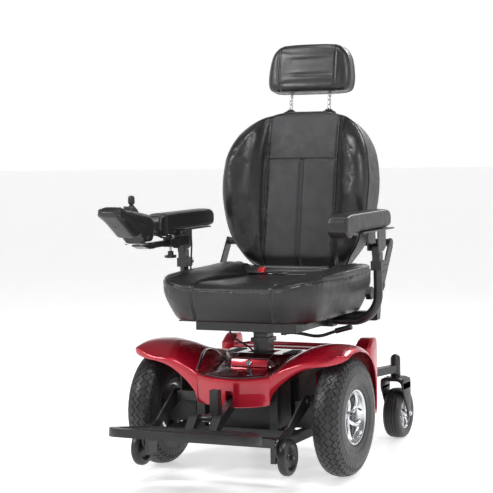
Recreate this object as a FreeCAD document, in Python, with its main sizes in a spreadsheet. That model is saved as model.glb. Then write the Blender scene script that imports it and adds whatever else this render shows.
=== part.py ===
import FreeCAD, Part
import math
import os
import Sketcher
from FreeCAD import Placement, Rotation, Vector

# A mid-wheel-drive power wheelchair.
# +Z is up, the chair faces -Y and the user's left hand is on +X.
# The origin is on the floor, under the middle of the chair's outline.

DIMENSIONS = [
    # drive wheels
    ("drive_axle_y", -100), ("drive_radius", 160), ("drive_width", 78), ("drive_x", 273.5),
    ("rim_radius", 74), ("drive_axle_radius", 9),
    # casters
    ("caster_axle_y", 468), ("caster_pivot_y", 448), ("caster_x", 218), ("caster_radius", 75),
    ("caster_width", 52), ("caster_rim", 45), ("barrel_radius", 15), ("fork_top", 186),
    ("stem_radius", 7), ("caster_axle_radius", 5),
    # anti-tip wheels
    ("antitip_y", -339), ("antitip_x", 212), ("antitip_z", 90), ("antitip_radius", 48),
    ("antitip_width", 23), ("antitip_pivot_y", -170), ("antitip_pivot_z", 208),
    # chassis
    ("rail_x", 178), ("rail_bottom", 106), ("rail_side", 24), ("rail_front", -318),
    ("rail_rear", 330), ("deck_z", 300), ("post_y", -13), ("post_side", 42), ("post_top", 366),
    ("battery_wide", 190), ("battery_deep", 122), ("battery_tall", 150),
    # footrest
    ("plate_half", 214), ("plate_rear_half", 148), ("plate_front", -182), ("plate_rear", -16),
    ("plate_top", -26), ("plate_thick", 22), ("plate_tilt", 6.5), ("plate_hinge_y", -370),
    ("plate_hinge_z", 184), ("stem_side", 24), ("stem_y", -321), ("stem_low", 146),
    # shroud
    ("nose_half", 107), ("nose_y", -215), ("nose_bottom", 192), ("nose_top", 272),
    ("nose_bow", 241.5),
    ("shell_wall", 4), ("fender_outer", 318), ("fender_gap", 16),
    # seat
    ("seat_half", 245), ("seat_front", -228), ("seat_rear", 244), ("seat_bottom", 412),
    ("seat_crest", 540), ("seat_dip", 510), ("swivel_z", 366),
    # backrest, drawn upright in its own frame and leaned back about the hinge
    ("hinge_y", 232), ("hinge_z", 480), ("lean", 9.6), ("back_half", 233), ("back_low", 76),
    ("back_high", 508), ("bolster_front", -98), ("panel_front", -12), ("panel_half", 110),
    ("back_split", 8), ("shell_back", 44), ("post_gap", 60.7), ("head_post_radius", 5),
    ("head_low", 562), ("head_high", 710), ("head_half", 133), ("head_thick", 84),
    # armrests
    ("arm_x", 276.5), ("arm_wide", 59), ("arm_front", -140), ("arm_rear", 197),
    ("arm_top", 700), ("arm_thick", 50), ("arm_tube_x", 300), ("arm_tube_y", 97),
    ("arm_tube_radius", 12.5), ("arm_pivot_y", 89), ("arm_pivot_z", 600),
    # controller
    ("pod_x", -275), ("pod_half", 35), ("stick_y", -253), ("stick_z", 700),
    ("socket_radius", 7.5), ("socket_depth", 12), ("cable_radius", 2.6),
]

doc = FreeCAD.newDocument("power_wheelchair")
sheet = doc.addObject("Spreadsheet::Sheet", "dims")
for row, (alias, size) in enumerate(DIMENSIONS, 1):
    sheet.set(f"A{row}", alias)
    sheet.set(f"B{row}", str(size))
    sheet.setAlias(f"B{row}", alias)
doc.recompute()

nodes = []  # the finished sub-parts, in the order in which they are built


def size(text):
    """The value of an expression in the sheet's dimensions."""
    return float(sheet.evalExpression(str(text)))


def bind(thing, **sizes):
    """Tie an object's properties to expressions in the sheet's dimensions."""
    for name, text in sizes.items():
        thing.setExpression(name, str(text))
    return thing


def place(thing, x=0, y=0, z=0, axis=None, turn=0):
    """Put an object at a place that is given in expressions, turned about an axis."""
    if axis:
        thing.Placement = Placement(Vector(), Rotation(Vector(*axis), size(turn)))
    for name, text in (("x", x), ("y", y), ("z", z)):
        thing.setExpression(f"Placement.Base.{name}", str(text))
    return thing


def box(name, wide, deep, tall, x=0, y=0, z=0):
    """A box that is centred on x and y and stands on z."""
    thing = bind(doc.addObject("Part::Box", name), Length=wide, Width=deep, Height=tall)
    return place(thing, f"{x} - ({wide}) / 2", f"{y} - ({deep}) / 2", z)


def cylinder(name, radius, height, x=0, y=0, z=0, axis=None, turn=0):
    """A cylinder that starts at a place and runs along +Z, unless it is turned."""
    thing = bind(doc.addObject("Part::Cylinder", name), Radius=radius, Height=height)
    return place(thing, x, y, z, axis, turn)


def cylinder_x(name, radius, x_from, x_to, y, z):
    """A cylinder along X."""
    return cylinder(name, radius, f"({x_to}) - ({x_from})", x_from, y, z, (0, 1, 0), 90)


def cylinder_y(name, radius, y_from, y_to, x, z):
    """A cylinder along Y."""
    return cylinder(name, radius, f"({y_to}) - ({y_from})", x, y_from, z, (1, 0, 0), -90)


def fuse(name, *things):
    """Join objects into one."""
    thing = doc.addObject("Part::MultiFuse", name)
    thing.Shapes = list(things)
    return thing


def cut(name, base, *tools):
    """Take the tools out of an object, one after another."""
    for number, tool in enumerate(tools):
        last = number == len(tools) - 1
        thing = doc.addObject("Part::Cut", name if last else f"{name}_step_{number}")
        thing.Base = base
        thing.Tool = tool
        base = thing
    return base


def rounded(name, base, radius, chosen):
    """Round the edges that a test chooses."""
    doc.recompute()
    thing = doc.addObject("Part::Fillet", name)
    thing.Base = base
    edges = [n for n, edge in enumerate(base.Shape.Edges, 1) if chosen(edge)]
    thing.Edges = [(n, size(radius), size(radius)) for n in edges]
    return thing


def along(edge, axis):
    """Whether an edge is straight and runs along an axis."""
    ends = [vertex.Point for vertex in edge.Vertexes]
    if len(ends) != 2 or edge.Curve.TypeId != "Part::GeomLine":
        return False
    return abs((ends[1] - ends[0]).normalize().dot(Vector(*axis))) > 0.999


def outline(body, name, role, points, shift="0"):
    """A closed sketch on an origin plane, with each corner tied to expressions.

    A third entry in a point makes the side after it an arc of that radius, which is
    negative where the side turns clockwise.
    """
    sketch = body.newObject("Sketcher::SketchObject", name)
    flat = next(f for f in body.Origin.OriginFeatures if f.Role == role)
    sketch.AttachmentSupport = (flat, [""])
    sketch.MapMode = "FlatFace"
    sketch.setExpression("AttachmentOffset.Base.z", str(shift))
    corners = [Vector(size(point[0]), size(point[1]), 0) for point in points]
    starts = []
    ends = []
    for number, point in enumerate(points):
        here = corners[number]
        there = corners[(number + 1) % len(corners)]
        if len(point) == 2:
            sketch.addGeometry(Part.LineSegment(here, there), False)
            starts.append(1)
            ends.append(2)
            continue
        radius = size(point[2])
        if radius < 0:
            here, there = there, here
        chord = there - here
        rise = math.sqrt(radius * radius - chord.Length * chord.Length / 4)
        middle = (here + there) / 2 + Vector(-chord.y, chord.x, 0).normalize() * rise
        first = math.atan2(here.y - middle.y, here.x - middle.x)
        last = math.atan2(there.y - middle.y, there.x - middle.x)
        circle = Part.Circle(middle, Vector(0, 0, 1), abs(radius))
        sketch.addGeometry(Part.ArcOfCircle(circle, first, last), False)
        starts.append(1 if radius > 0 else 2)
        ends.append(2 if radius > 0 else 1)
    for number in range(len(points)):
        after = (number + 1) % len(points)
        sketch.addConstraint(
            Sketcher.Constraint("Coincident", number, ends[number], after, starts[after]))
    for number, point in enumerate(points):
        for kind, text, value in zip(("DistanceX", "DistanceY"), point, corners[number]):
            rule = sketch.addConstraint(
                Sketcher.Constraint(kind, -1, 1, number, starts[number], value))
            sketch.setExpression(f"Constraints[{rule}]", str(text))
        if len(point) == 3:
            radius = abs(size(point[2]))
            rule = sketch.addConstraint(Sketcher.Constraint("Radius", number, radius))
            sketch.setExpression(f"Constraints[{rule}]", f"abs({point[2]})")
    return sketch


def plate(name, role, points, thick, shift="0", both=True):
    """A padded outline, centred on its plane or standing on it."""
    body = doc.addObject("PartDesign::Body", name)
    sketch = outline(body, f"{name}_outline", role, points, shift)
    pad = body.newObject("PartDesign::Pad", f"{name}_pad")
    pad.Profile = sketch
    pad.Midplane = both
    bind(pad, Length=thick)
    body.Tip = pad
    return body


def turned(name, points, role="XY_Plane", axis="H_Axis"):
    """A body of revolution about one axis of its sketch."""
    body = doc.addObject("PartDesign::Body", name)
    sketch = outline(body, f"{name}_outline", role, points)
    spin = body.newObject("PartDesign::Revolution", f"{name}_turn")
    spin.Profile = sketch
    spin.ReferenceAxis = (sketch, [axis])
    spin.Angle = 360
    body.Tip = spin
    return body


def loft(name, sections):
    """A ruled body through outlines at rising heights; each is (height, points)."""
    body = doc.addObject("PartDesign::Body", name)
    sketches = [
        outline(body, f"{name}_{n}", "XY_Plane", points, height)
        for n, (height, points) in enumerate(sections)
    ]
    skin = body.newObject("PartDesign::AdditiveLoft", f"{name}_loft")
    skin.Profile = sketches[0]
    skin.Sections = sketches[1:]
    skin.Ruled = True
    body.Tip = skin
    return body


def soft_rectangle(half, front, rear, corner):
    """Points of a rectangle with rounded corners, about x = 0."""
    inner = f"({half}) - ({corner})"
    near = f"({front}) + ({corner})"
    far = f"({rear}) - ({corner})"
    return [
        (f"-({inner})", front), (inner, front, corner),
        (half, near), (half, far, corner),
        (inner, rear), (f"-({inner})", rear, corner),
        (f"-({half})", far), (f"-({half})", near, corner),
    ]


def route(points, share=0.45):
    """Straight runs joined by tangent arcs, as one wire, and the arcs' radii."""
    edges = []
    radii = []
    start = points[0]
    for before, corner, after in zip(points, points[1:], points[2:]):
        back = before - corner
        ahead = after - corner
        reach = share * min(back.Length, ahead.Length)
        half_turn = (math.pi - back.getAngle(ahead)) / 2
        radii.append(reach / math.tan(half_turn))
        back.normalize()
        ahead.normalize()
        first = corner + back * reach
        last = corner + ahead * reach
        centre = corner + (back + ahead).normalize() * (radii[-1] / math.cos(half_turn))
        middle = centre + (corner - centre).normalize() * radii[-1]
        edges.append(Part.LineSegment(start, first).toShape())
        edges.append(Part.Arc(first, middle, last).toShape())
        start = last
    edges.append(Part.LineSegment(start, points[-1]).toShape())
    return Part.Wire(edges), radii


def tube_shape(points, radius, share=0.45):
    """A round bar along a route."""
    path, radii = route(points, share)
    start = Part.makeCircle(radius, points[0], points[1] - points[0])
    shape = path.makePipeShell([Part.Wire(start)], True, False)
    ideal = math.pi * radius * radius * path.Length
    if abs(shape.Volume - ideal) > 0.02 * ideal:
        raise RuntimeError("a tube has the wrong volume")
    return shape, radii


def tube(name, points, radius, share=0.45):
    """A round bar along a route, as an object."""
    thing = doc.addObject("Part::Feature", name)
    thing.Shape, radii = tube_shape(points, radius, share)
    print(name, "bend radii", [round(r, 1) for r in radii])
    return thing


def node(thing, name):
    """Name a finished sub-part."""
    thing.Label = name
    nodes.append(thing)
    return thing


def both_sides():
    """The two sides of the chair."""
    return (("left", 1), ("right", -1))


# ---------------------------------------------------------------- drive wheels
def drive_wheel(side, sign):
    """A moulded rim with curved spokes, and the pneumatic tyre on it."""
    hub_x = f"{sign} * dims.drive_x"
    half = "dims.drive_width / 2"
    tyre = turned(f"tyre_{side}", [
        (f"-({half}) + 8", "dims.rim_radius + 0.5"), (f"({half}) - 8", "dims.rim_radius + 0.5"),
        (half, "dims.rim_radius + 38", 62),
        ("25", "dims.drive_radius - 5", 62.6),
        ("-25", "dims.drive_radius - 5", 62),
        (f"-({half})", "dims.rim_radius + 38"),
    ])
    node(place(tyre, hub_x, "dims.drive_axle_y", "dims.drive_radius"), f"drive_tyre_{side}")

    out = 1 if sign > 0 else -1
    ring = turned(f"rim_ring_{side}", [
        ("-31", "dims.rim_radius"), ("-31", "dims.rim_radius - 8"), ("-24", "dims.rim_radius - 14"),
        ("24", "dims.rim_radius - 14"), ("31", "dims.rim_radius - 10"), ("31", "dims.rim_radius"),
    ])
    hub = turned(f"rim_hub_{side}", [
        (f"{-30 if out > 0 else -16}", "dims.drive_axle_radius + 0.05"),
        (f"{16 if out > 0 else 30}", "dims.drive_axle_radius + 0.05"),
        (f"{16 if out > 0 else 30}", "18"), (f"{-30 if out > 0 else -16}", "18"),
    ])
    spokes = []
    for number in range(5):
        spoke = plate(f"spoke_{side}_{number}", "YZ_Plane", [
            ("-5", "14"), ("5", "14"), ("13", "40", 60), ("22", "dims.rim_radius - 12", 90),
            ("-6", "dims.rim_radius - 12", -60), ("-7", "34"),
        ], "10")
        spoke.Placement = Placement(Vector(out * 10, 0, 0), Rotation(Vector(1, 0, 0), 72 * number))
        spokes.append(spoke)
    rim = fuse(f"rim_{side}", ring, hub, *spokes)
    node(place(rim, hub_x, "dims.drive_axle_y", "dims.drive_radius"), f"drive_rim_{side}")


for side, sign in both_sides():
    drive_wheel(side, sign)


# ---------------------------------------------------------------- drive motors
def drive_motor(side, sign):
    """A gearbox on the axle, the motor behind it and the stub axle in the wheel."""
    gearbox = box(f"gearbox_{side}", "78", "86", "72", f"{sign} * 188", "dims.drive_axle_y",
                  "dims.rail_bottom + dims.rail_side + 0.3")
    motor = cylinder_y(f"motor_{side}", "36", "dims.drive_axle_y + 43", "dims.drive_axle_y + 205",
                       f"{sign} * 168.5", "168")
    cap = cylinder_y(f"motor_cap_{side}", "30", "dims.drive_axle_y + 205",
                     "dims.drive_axle_y + 222", f"{sign} * 168.5", "168")
    inner = f"{sign} * 226"
    outer = f"{sign} * (dims.drive_x + 24)"
    ends = (inner, outer) if sign > 0 else (outer, inner)
    axle = cylinder_x(f"stub_{side}", "dims.drive_axle_radius", *ends,
                      "dims.drive_axle_y", "dims.drive_radius")
    nut_ends = (f"{sign} * (dims.drive_x + 16.5)", f"{sign} * (dims.drive_x + 25)")
    nut = cylinder_x(f"axle_nut_{side}", "12", *sorted(nut_ends, key=size),
                     "dims.drive_axle_y", "dims.drive_radius")
    node(fuse(f"motor_group_{side}", gearbox, motor, cap, axle, nut), f"drive_motor_{side}")


for side, sign in both_sides():
    drive_motor(side, sign)


# ---------------------------------------------------------------- chassis frame
def chassis_frame():
    """Welded box tubes: two rails, cross members, uprights and the deck over the batteries."""
    mid = "(dims.rail_front + dims.rail_rear) / 2"
    long = "dims.rail_rear - dims.rail_front"
    bars = []
    for side, sign in both_sides():
        bars.append(box(f"rail_{side}", "dims.rail_side", long, "dims.rail_side",
                        f"{sign} * dims.rail_x", mid, "dims.rail_bottom"))
        for place_y in (-182, 148):
            bars.append(box(f"upright_{side}_{place_y}", "24", "24", "dims.deck_z - 145",
                            f"{sign} * 108", place_y, "107"))
        bars.append(box(f"deck_rail_{side}", "24", "354", "14", f"{sign} * 108", "-17",
                        "dims.deck_z - 50"))
        bars.append(box(f"deck_riser_{side}", "24", "76", "26", f"{sign} * 108", "dims.post_y",
                        "dims.deck_z - 37"))
        bars.append(box(f"rear_upright_{side}", "24", "24", "118", f"{sign} * dims.rail_x",
                        "dims.rail_rear - 12", "dims.rail_bottom"))
    for name, place_y in (("front", -306), ("mid", -182), ("rear", 148), ("tail", 318)):
        bars.append(box(f"cross_{name}", "2 * dims.rail_x", "24", "dims.rail_side", "0",
                        place_y, "dims.rail_bottom"))
        # the anti-tip arm turns on this pin
        bars.append(box(f"pivot_bracket_{side}", "66", "28", "26", f"{sign} * 153", "-170", "195"))
        ends = sorted((f"{sign} * 184", f"{sign} * 199"), key=size)
        bars.append(cylinder_x(f"pivot_pin_{side}", "8", *ends, "dims.antitip_pivot_y",
                               "dims.antitip_pivot_z"))
        # the spring rod that stands beside the drive wheel
        bars.append(cylinder(f"spring_rod_{side}", "3", "87", f"{sign} * 172", "-182", "195"))
    bars.append(box("cross_nose", "240", "24", "28", "0", "-182", "204"))
    bars.append(box("deck_plate", "240", "76", "12", "0", "dims.post_y", "dims.deck_z - 12"))
    bars.append(box("tray", "204", "300", "3", "0", "-17", "dims.rail_bottom + 10"))
    return fuse("frame_group", *bars)


node(chassis_frame(), "chassis_frame")

for name, place_y in (("battery_front", -106), ("battery_rear", 72)):
    case = box(f"{name}_case", "dims.battery_wide", "dims.battery_deep", "dims.battery_tall",
               "0", place_y, "dims.rail_bottom + 13.3")
    node(rounded(f"{name}_rounded", case, "4", lambda edge: along(edge, (0, 0, 1))), name)


# ---------------------------------------------------------------- seat post
def seat_post():
    """The fixed square column, its foot and the bearing plate on top."""
    foot = box("post_foot", "96", "70", "8", "0", "dims.post_y", "dims.deck_z + 0.2")
    column = box("post_column", "dims.post_side", "dims.post_side",
                 "dims.post_top - dims.deck_z - 4", "0", "dims.post_y", "dims.deck_z + 4")
    collar = box("post_collar", "54", "54", "12", "0", "dims.post_y", "dims.post_top - 24")
    pin = cylinder("post_pin", "14", "20", "0", "dims.post_y", "dims.post_top - 6")
    return fuse("post_group", foot, column, collar, pin)


node(seat_post(), "seat_post")


# ---------------------------------------------------------------- footrest
def footrest_stem():
    """The slanted support under the nose, the square stem and the hinge knuckle."""
    stem = box("stem_bar", "dims.stem_side", "dims.stem_side", "106", "0", "dims.stem_y",
               "dims.stem_low")
    arm = plate("stem_arm", "YZ_Plane", [
        ("dims.stem_y + 11", "dims.stem_low"), ("-194.2", "206"), ("-194.2", "230"),
        ("dims.stem_y + 11", "dims.stem_low + 32"),
    ], "22")
    web = box("knuckle_web", "24", "42", "14", "0", "dims.plate_hinge_y + 19",
              "dims.plate_hinge_z - 7")
    knuckle = cylinder_x("knuckle", "9", "-15", "15", "dims.plate_hinge_y",
                         "dims.plate_hinge_z")
    bore = cylinder_x("knuckle_bore", "4.05", "-20", "20", "dims.plate_hinge_y",
                      "dims.plate_hinge_z")
    return cut("stem_group", fuse("stem_solid", stem, arm, web, knuckle), bore)


node(footrest_stem(), "footrest_stem")


def footplate():
    """A moulded plate, wider at the front, with two wedges that carry its hinge pin.

    It is drawn level about the pin and then raised at the front.
    """
    half = "dims.plate_half"
    rear_half = "dims.plate_rear_half"
    front = "dims.plate_front"
    rear = "dims.plate_rear"
    top = "dims.plate_top"
    slab = plate("slab", "XY_Plane", [
        (f"-({half}) + 52", f"({front}) + 7"), ("0", front, 900),
        (f"({half}) - 52", f"({front}) + 7", 52), (half, f"({front}) + 56"),
        (rear_half, rear), (f"-({rear_half})", rear),
        (f"-({half})", f"({front}) + 56", 52),
    ], "dims.plate_thick", f"({top}) - dims.plate_thick", False)
    recess = plate("tread_recess", "XY_Plane", [
        (f"-({half}) + 62", f"({front}) + 20"), (f"({half}) - 62", f"({front}) + 20"),
        (f"({half}) - 16", f"({front}) + 62"), (f"({rear_half}) - 4", f"({rear}) - 26"),
        (f"-({rear_half}) + 4", f"({rear}) - 26"), (f"-({half}) + 16", f"({front}) + 62"),
    ], "6", f"({top}) - 2.5", False)
    plain = cut("plate_plain", slab, recess)
    ribs = [
        box(f"tread_rib_{n}", f"2 * ({rear_half}) - 10", "3", "2.5", "0",
            f"({rear}) - {36 + 11 * n}", f"({top}) - 3")
        for n in range(9)
    ]
    wedges = [
        plate(f"wedge_{side}", "YZ_Plane", [
            ("-40", f"({top}) - 1"), ("-18", f"({top}) - 1"), ("10", "-6"), ("7", "9"),
            ("-8", "10"), ("-17", "4"),
        ], "24", f"{sign} * 34")
        for side, sign in both_sides()
    ]
    pin = cylinder_x("hinge_pin", "4", "-30", "30", "0", "0")
    group = fuse("plate_group", plain, *ribs, *wedges, pin)
    return place(group, "0", "dims.plate_hinge_y", "dims.plate_hinge_z", (1, 0, 0),
                 "-dims.plate_tilt")


node(footplate(), "footplate")


# ---------------------------------------------------------------- anti-tip wheels
def antitip(side, sign):
    """A sprung arm on the chassis with a small wheel ahead of the drive wheel."""
    middle = f"{sign} * dims.antitip_x"
    arm = plate(f"tip_arm_{side}", "YZ_Plane", [
        ("-152", "222"), ("-186", "226"), ("-292", "158"), ("-356", "138", 30),
        ("-330", "84"), ("-322", "120"), ("-250", "150"), ("-152", "192"),
    ], "6", f"{sign} * (dims.antitip_x - 19)")
    block = box(f"tip_block_{side}", "14", "44", "62", f"{sign} * (dims.antitip_x - 29)",
                "dims.antitip_y - 6", "76")
    bore = cylinder_x(f"tip_bore_{side}", "8.05", f"{sign} * dims.antitip_x - 40",
                      f"{sign} * dims.antitip_x + 40", "dims.antitip_pivot_y",
                      "dims.antitip_pivot_z")
    inner = f"{sign} * (dims.antitip_x - 22)"
    outer = f"{sign} * (dims.antitip_x + 14)"
    axle = cylinder_x(f"tip_axle_{side}", "4", *sorted((inner, outer), key=size),
                      "dims.antitip_y", "dims.antitip_z")
    nut_ends = (f"{sign} * (dims.antitip_x + 12)", f"{sign} * (dims.antitip_x + 18)")
    nut = cylinder_x(f"tip_nut_{side}", "7", *sorted(nut_ends, key=size),
                     "dims.antitip_y", "dims.antitip_z")
    arm_group = fuse(f"tip_group_{side}", arm, block, axle, nut)
    node(cut(f"tip_cut_{side}", arm_group, bore), f"antitip_arm_{side}")

    half = "dims.antitip_width / 2"
    wheel = turned(f"tip_wheel_{side}", [
        (f"-({half}) + 3", "4.05"), (f"({half}) - 3", "4.05"), (f"({half}) - 3", "22"),
        (half, "26"), (half, "dims.antitip_radius - 10"),
        (f"({half}) - 6", "dims.antitip_radius - 1.2", 18),
        (f"-({half}) + 6", "dims.antitip_radius - 1.2"),
        (f"-({half})", "dims.antitip_radius - 10"), (f"-({half})", "26"), (f"-({half}) + 3", "22"),
    ])
    place(wheel, middle, "dims.antitip_y", "dims.antitip_z")
    node(wheel, f"antitip_wheel_{side}")


for side, sign in both_sides():
    antitip(side, sign)


# ---------------------------------------------------------------- casters
def caster_beam():
    """The rear cross tube with an arm to each caster's barrel."""
    parts = [box("beam_bar", "2 * dims.rail_x + 24", "24", "22", "0", "dims.rail_rear + 12.2",
                 "200")]
    bores = []
    for side, sign in both_sides():
        middle = f"{sign} * dims.caster_x"
        parts.append(plate(f"caster_arm_{side}", "XY_Plane", [
            (f"{sign} * (dims.rail_x - 10)", "dims.rail_rear + 1"),
            (f"{sign} * (dims.rail_x + 22)", "dims.rail_rear + 1"),
            (f"{sign} * (dims.caster_x + 11)", "dims.caster_pivot_y"),
            (f"{sign} * (dims.caster_x - 11)", "dims.caster_pivot_y"),
        ], "22", "200", False))
        parts.append(cylinder(f"barrel_{side}", "dims.barrel_radius", "50", middle,
                              "dims.caster_pivot_y", "dims.fork_top + 3"))
        parts.append(bind(place(doc.addObject("Part::Sphere", f"barrel_cap_{side}"), middle,
                                "dims.caster_pivot_y", "dims.fork_top + 53"),
                          Radius="dims.barrel_radius"))
        bores.append(cylinder(f"barrel_bore_{side}", "dims.stem_radius + 0.05", "44.5", middle,
                              "dims.caster_pivot_y", "dims.fork_top + 2"))
    return cut("beam_group", fuse("beam_solid", *parts), *bores)


node(caster_beam(), "caster_beam")


def caster(side, sign):
    """The fork with its stem, and the wheel's rim and tyre."""
    middle = f"{sign} * dims.caster_x"
    fork_half = "dims.caster_width / 2 + 4"
    crown = box(f"crown_{side}", f"2 * ({fork_half}) + 12", "70", "10", middle,
                "dims.caster_pivot_y - 1", "dims.fork_top - 10")
    stem = cylinder(f"stem_{side}", "dims.stem_radius", "40", middle, "dims.caster_pivot_y",
                    "dims.fork_top - 4")
    race = cylinder(f"race_{side}", "13", "2.7", middle, "dims.caster_pivot_y", "dims.fork_top")
    parts = [crown, stem, race]
    for cheek, out in (("in", -1), ("out", 1)):
        cheek_plate = plate(f"cheek_{side}_{cheek}", "YZ_Plane", [
            ("dims.caster_pivot_y - 36", "dims.fork_top"),
            ("dims.caster_pivot_y - 36", "dims.fork_top - 26"),
            ("dims.caster_axle_y - 12", "dims.caster_radius", 12.1),
            ("dims.caster_axle_y + 12", "dims.caster_radius"),
            ("dims.caster_pivot_y + 34", "dims.fork_top - 20"),
            ("dims.caster_pivot_y + 34", "dims.fork_top"),
        ], "6", f"{middle} + {out} * ({fork_half} + 3)")
        parts.append(cheek_plate)
    axle = cylinder_x(f"caster_axle_{side}", "dims.caster_axle_radius",
                      f"{middle} - ({fork_half}) - 8", f"{middle} + ({fork_half}) + 8",
                      "dims.caster_axle_y", "dims.caster_radius")
    parts.append(axle)
    node(fuse(f"fork_group_{side}", *parts), f"caster_fork_{side}")

    half = "dims.caster_width / 2"
    rim = turned(f"small_rim_{side}", [
        (f"-({half}) + 2", "dims.caster_axle_radius + 0.05"),
        (f"({half}) - 2", "dims.caster_axle_radius + 0.05"), (f"({half}) - 2", "13"),
        ("8", "16"), ("8", "34"), (f"({half}) - 5", "38"), (f"({half}) - 3", "dims.caster_rim"),
        (f"-({half}) + 3", "dims.caster_rim"), (f"-({half}) + 5", "38"), ("-8", "34"),
        ("-8", "16"), (f"-({half}) + 2", "13"),
    ])
    holes = []
    for number in range(5):
        angle = math.radians(72 * number)
        holes.append(cylinder_x(f"rim_hole_{side}_{number}", "7.5", "-10", "10",
                                25 * math.cos(angle), 25 * math.sin(angle)))
    drilled = cut(f"small_rim_cut_{side}", rim, *holes)
    node(place(drilled, middle, "dims.caster_axle_y", "dims.caster_radius"),
         f"caster_rim_{side}")

    tyre = turned(f"small_tyre_{side}", [
        (f"-({half}) + 2", "dims.caster_rim + 0.4"), (f"({half}) - 2", "dims.caster_rim + 0.4"),
        (half, "dims.caster_rim + 14", 26), ("16", "dims.caster_radius - 1.75", 74),
        ("-16", "dims.caster_radius - 1.75", 26), (f"-({half})", "dims.caster_rim + 14"),
    ])
    node(place(tyre, middle, "dims.caster_axle_y", "dims.caster_radius"), f"caster_tyre_{side}")


for side, sign in both_sides():
    caster(side, sign)


# ---------------------------------------------------------------- shroud
def shell_nose():
    """The bowed front wall, with the slot that the footrest support folds into."""
    wall = plate("nose_wall", "XY_Plane", [
        ("-dims.nose_half", "dims.nose_y", "dims.nose_bow"), ("dims.nose_half", "dims.nose_y"),
        ("dims.nose_half", "dims.nose_y + dims.shell_wall", "-dims.nose_bow"),
        ("-dims.nose_half", "dims.nose_y + dims.shell_wall"),
    ], "dims.nose_top - dims.nose_bottom", "dims.nose_bottom", False)
    slot = box("nose_slot", "26", "24", "48", "0", "dims.nose_y - 26", "dims.nose_bottom - 1")
    return cut("nose_cut", wall, slot)


def shell_side(side, sign):
    """One side of the shell: the cheek beside the nose, the shoulder and the wheel arch."""
    front = "dims.nose_y + 2"
    outer = f"{sign} * dims.fender_outer"
    cheek = plate(f"cheek_wall_{side}", "XZ_Plane", [
        (f"{sign} * (dims.nose_half - 2)", "dims.nose_bottom"), (f"{sign} * 112", "226"),
        (f"{sign} * 137", "253"), (f"{sign} * 180", "287"), (f"{sign} * 208", "300"),
        (f"{sign} * 277", "308"), (outer, "318"), (outer, "330"), (f"{sign} * 300", "344"),
        (f"{sign} * 228", "346"), (f"{sign} * 200", "316"), (f"{sign} * 150", "298"),
        (f"{sign} * (dims.nose_half - 2)", "dims.nose_top"),
    ], "dims.shell_wall", f"-({front})")
    shoulder = plate(f"shoulder_{side}", "XZ_Plane", [
        (f"{sign} * 116", "309"), (f"{sign} * 128", "306"), (f"{sign} * 238", "343"),
        (f"{sign} * 238", "348"), (f"{sign} * 126", "313"), (f"{sign} * 116", "313"),
    ], "192", "24")
    slope_in = plate(f"slope_in_{side}", "YZ_Plane", [
        ("-213", "276"), ("-118", "307"), ("-118", "311"), ("-213", "280"),
    ], "84", f"{sign} * 157")
    slope_out = plate(f"slope_out_{side}", "YZ_Plane", [
        ("-213", "306"), ("-150", "334"), ("-112", "340"), ("-112", "344"), ("-150", "338"),
        ("-213", "310"),
    ], "46", f"{sign} * 213")
    inside = "dims.drive_radius + dims.fender_gap + 6"
    outside = f"{inside} + dims.shell_wall"
    axle = "dims.drive_axle_y"
    height = "dims.drive_radius"
    arch = plate(f"arch_{side}", "YZ_Plane", [
        (f"{axle} - 0.62 * ({outside})", f"{height} + 0.7846 * ({outside})"),
        (f"{axle} - 0.62 * ({inside})", f"{height} + 0.7846 * ({inside})", f"-({inside})"),
        (f"{axle} + {inside}", f"{height} - 6"), (f"{axle} + {outside}", f"{height} - 6", outside),
    ], "dims.fender_outer - 234", f"{sign} * (dims.fender_outer + 234) / 2")
    return fuse(f"shell_{side}", cheek, shoulder, slope_in, slope_out, arch)


def shell_deck():
    """The raised middle of the shell, with the hole for the seat post."""
    deck = plate("deck", "YZ_Plane", [
        ("dims.nose_y - 26", "262"), ("-106", "278"), ("-100", "299"), ("-60", "309"),
        ("46", "309"), ("92", "303"), ("92", "307"), ("46", "313"), ("-61", "313"),
        ("-103", "302.5"), ("-110", "282"), ("dims.nose_y - 26", "266"),
    ], "232")
    hole = box("deck_hole", "100", "74", "60", "0", "dims.post_y", "290")
    front = plate("deck_trim_front", "XY_Plane", [
        ("-150", "dims.nose_y + 1"), ("-dims.nose_half", "dims.nose_y", "dims.nose_bow"),
        ("dims.nose_half", "dims.nose_y"), ("150", "dims.nose_y + 1"),
        ("150", "dims.nose_y - 60"), ("-150", "dims.nose_y - 60"),
    ], "60", "240", False)
    return cut("deck_cut", deck, hole, front)


node(fuse("shroud_group", shell_nose(), shell_deck(),
          *[shell_side(side, sign) for side, sign in both_sides()]), "base_shroud")

panel = plate("panel_sheet", "YZ_Plane", [
    ("-216", "269.4"), ("-110.4", "282.4"), ("-103.45", "302.8"), ("-61.1", "313.4"),
    ("-61.8", "316.4"), ("-105.76", "305.3"), ("-112.6", "285.15"), ("-216", "272.4"),
], "120")
node(panel, "shroud_panel")

strips = [
    plate(f"strip_{side}", "XZ_Plane", [
        (f"{sign} * 132", "315.2"), (f"{sign} * 160", "324.1"), (f"{sign} * 160", "326.6"),
        (f"{sign} * 132", "317.7"),
    ], "76", "80")
    for side, sign in both_sides()
]
node(fuse("trim_group", *strips), "shroud_trim")

# the lock stands square on the panel's riser
lock = cylinder("lock_barrel", "9", "4", "0", "-109.7", "295.5", (1, 0, 0), "71.15")
node(lock, "shroud_lock")


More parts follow.
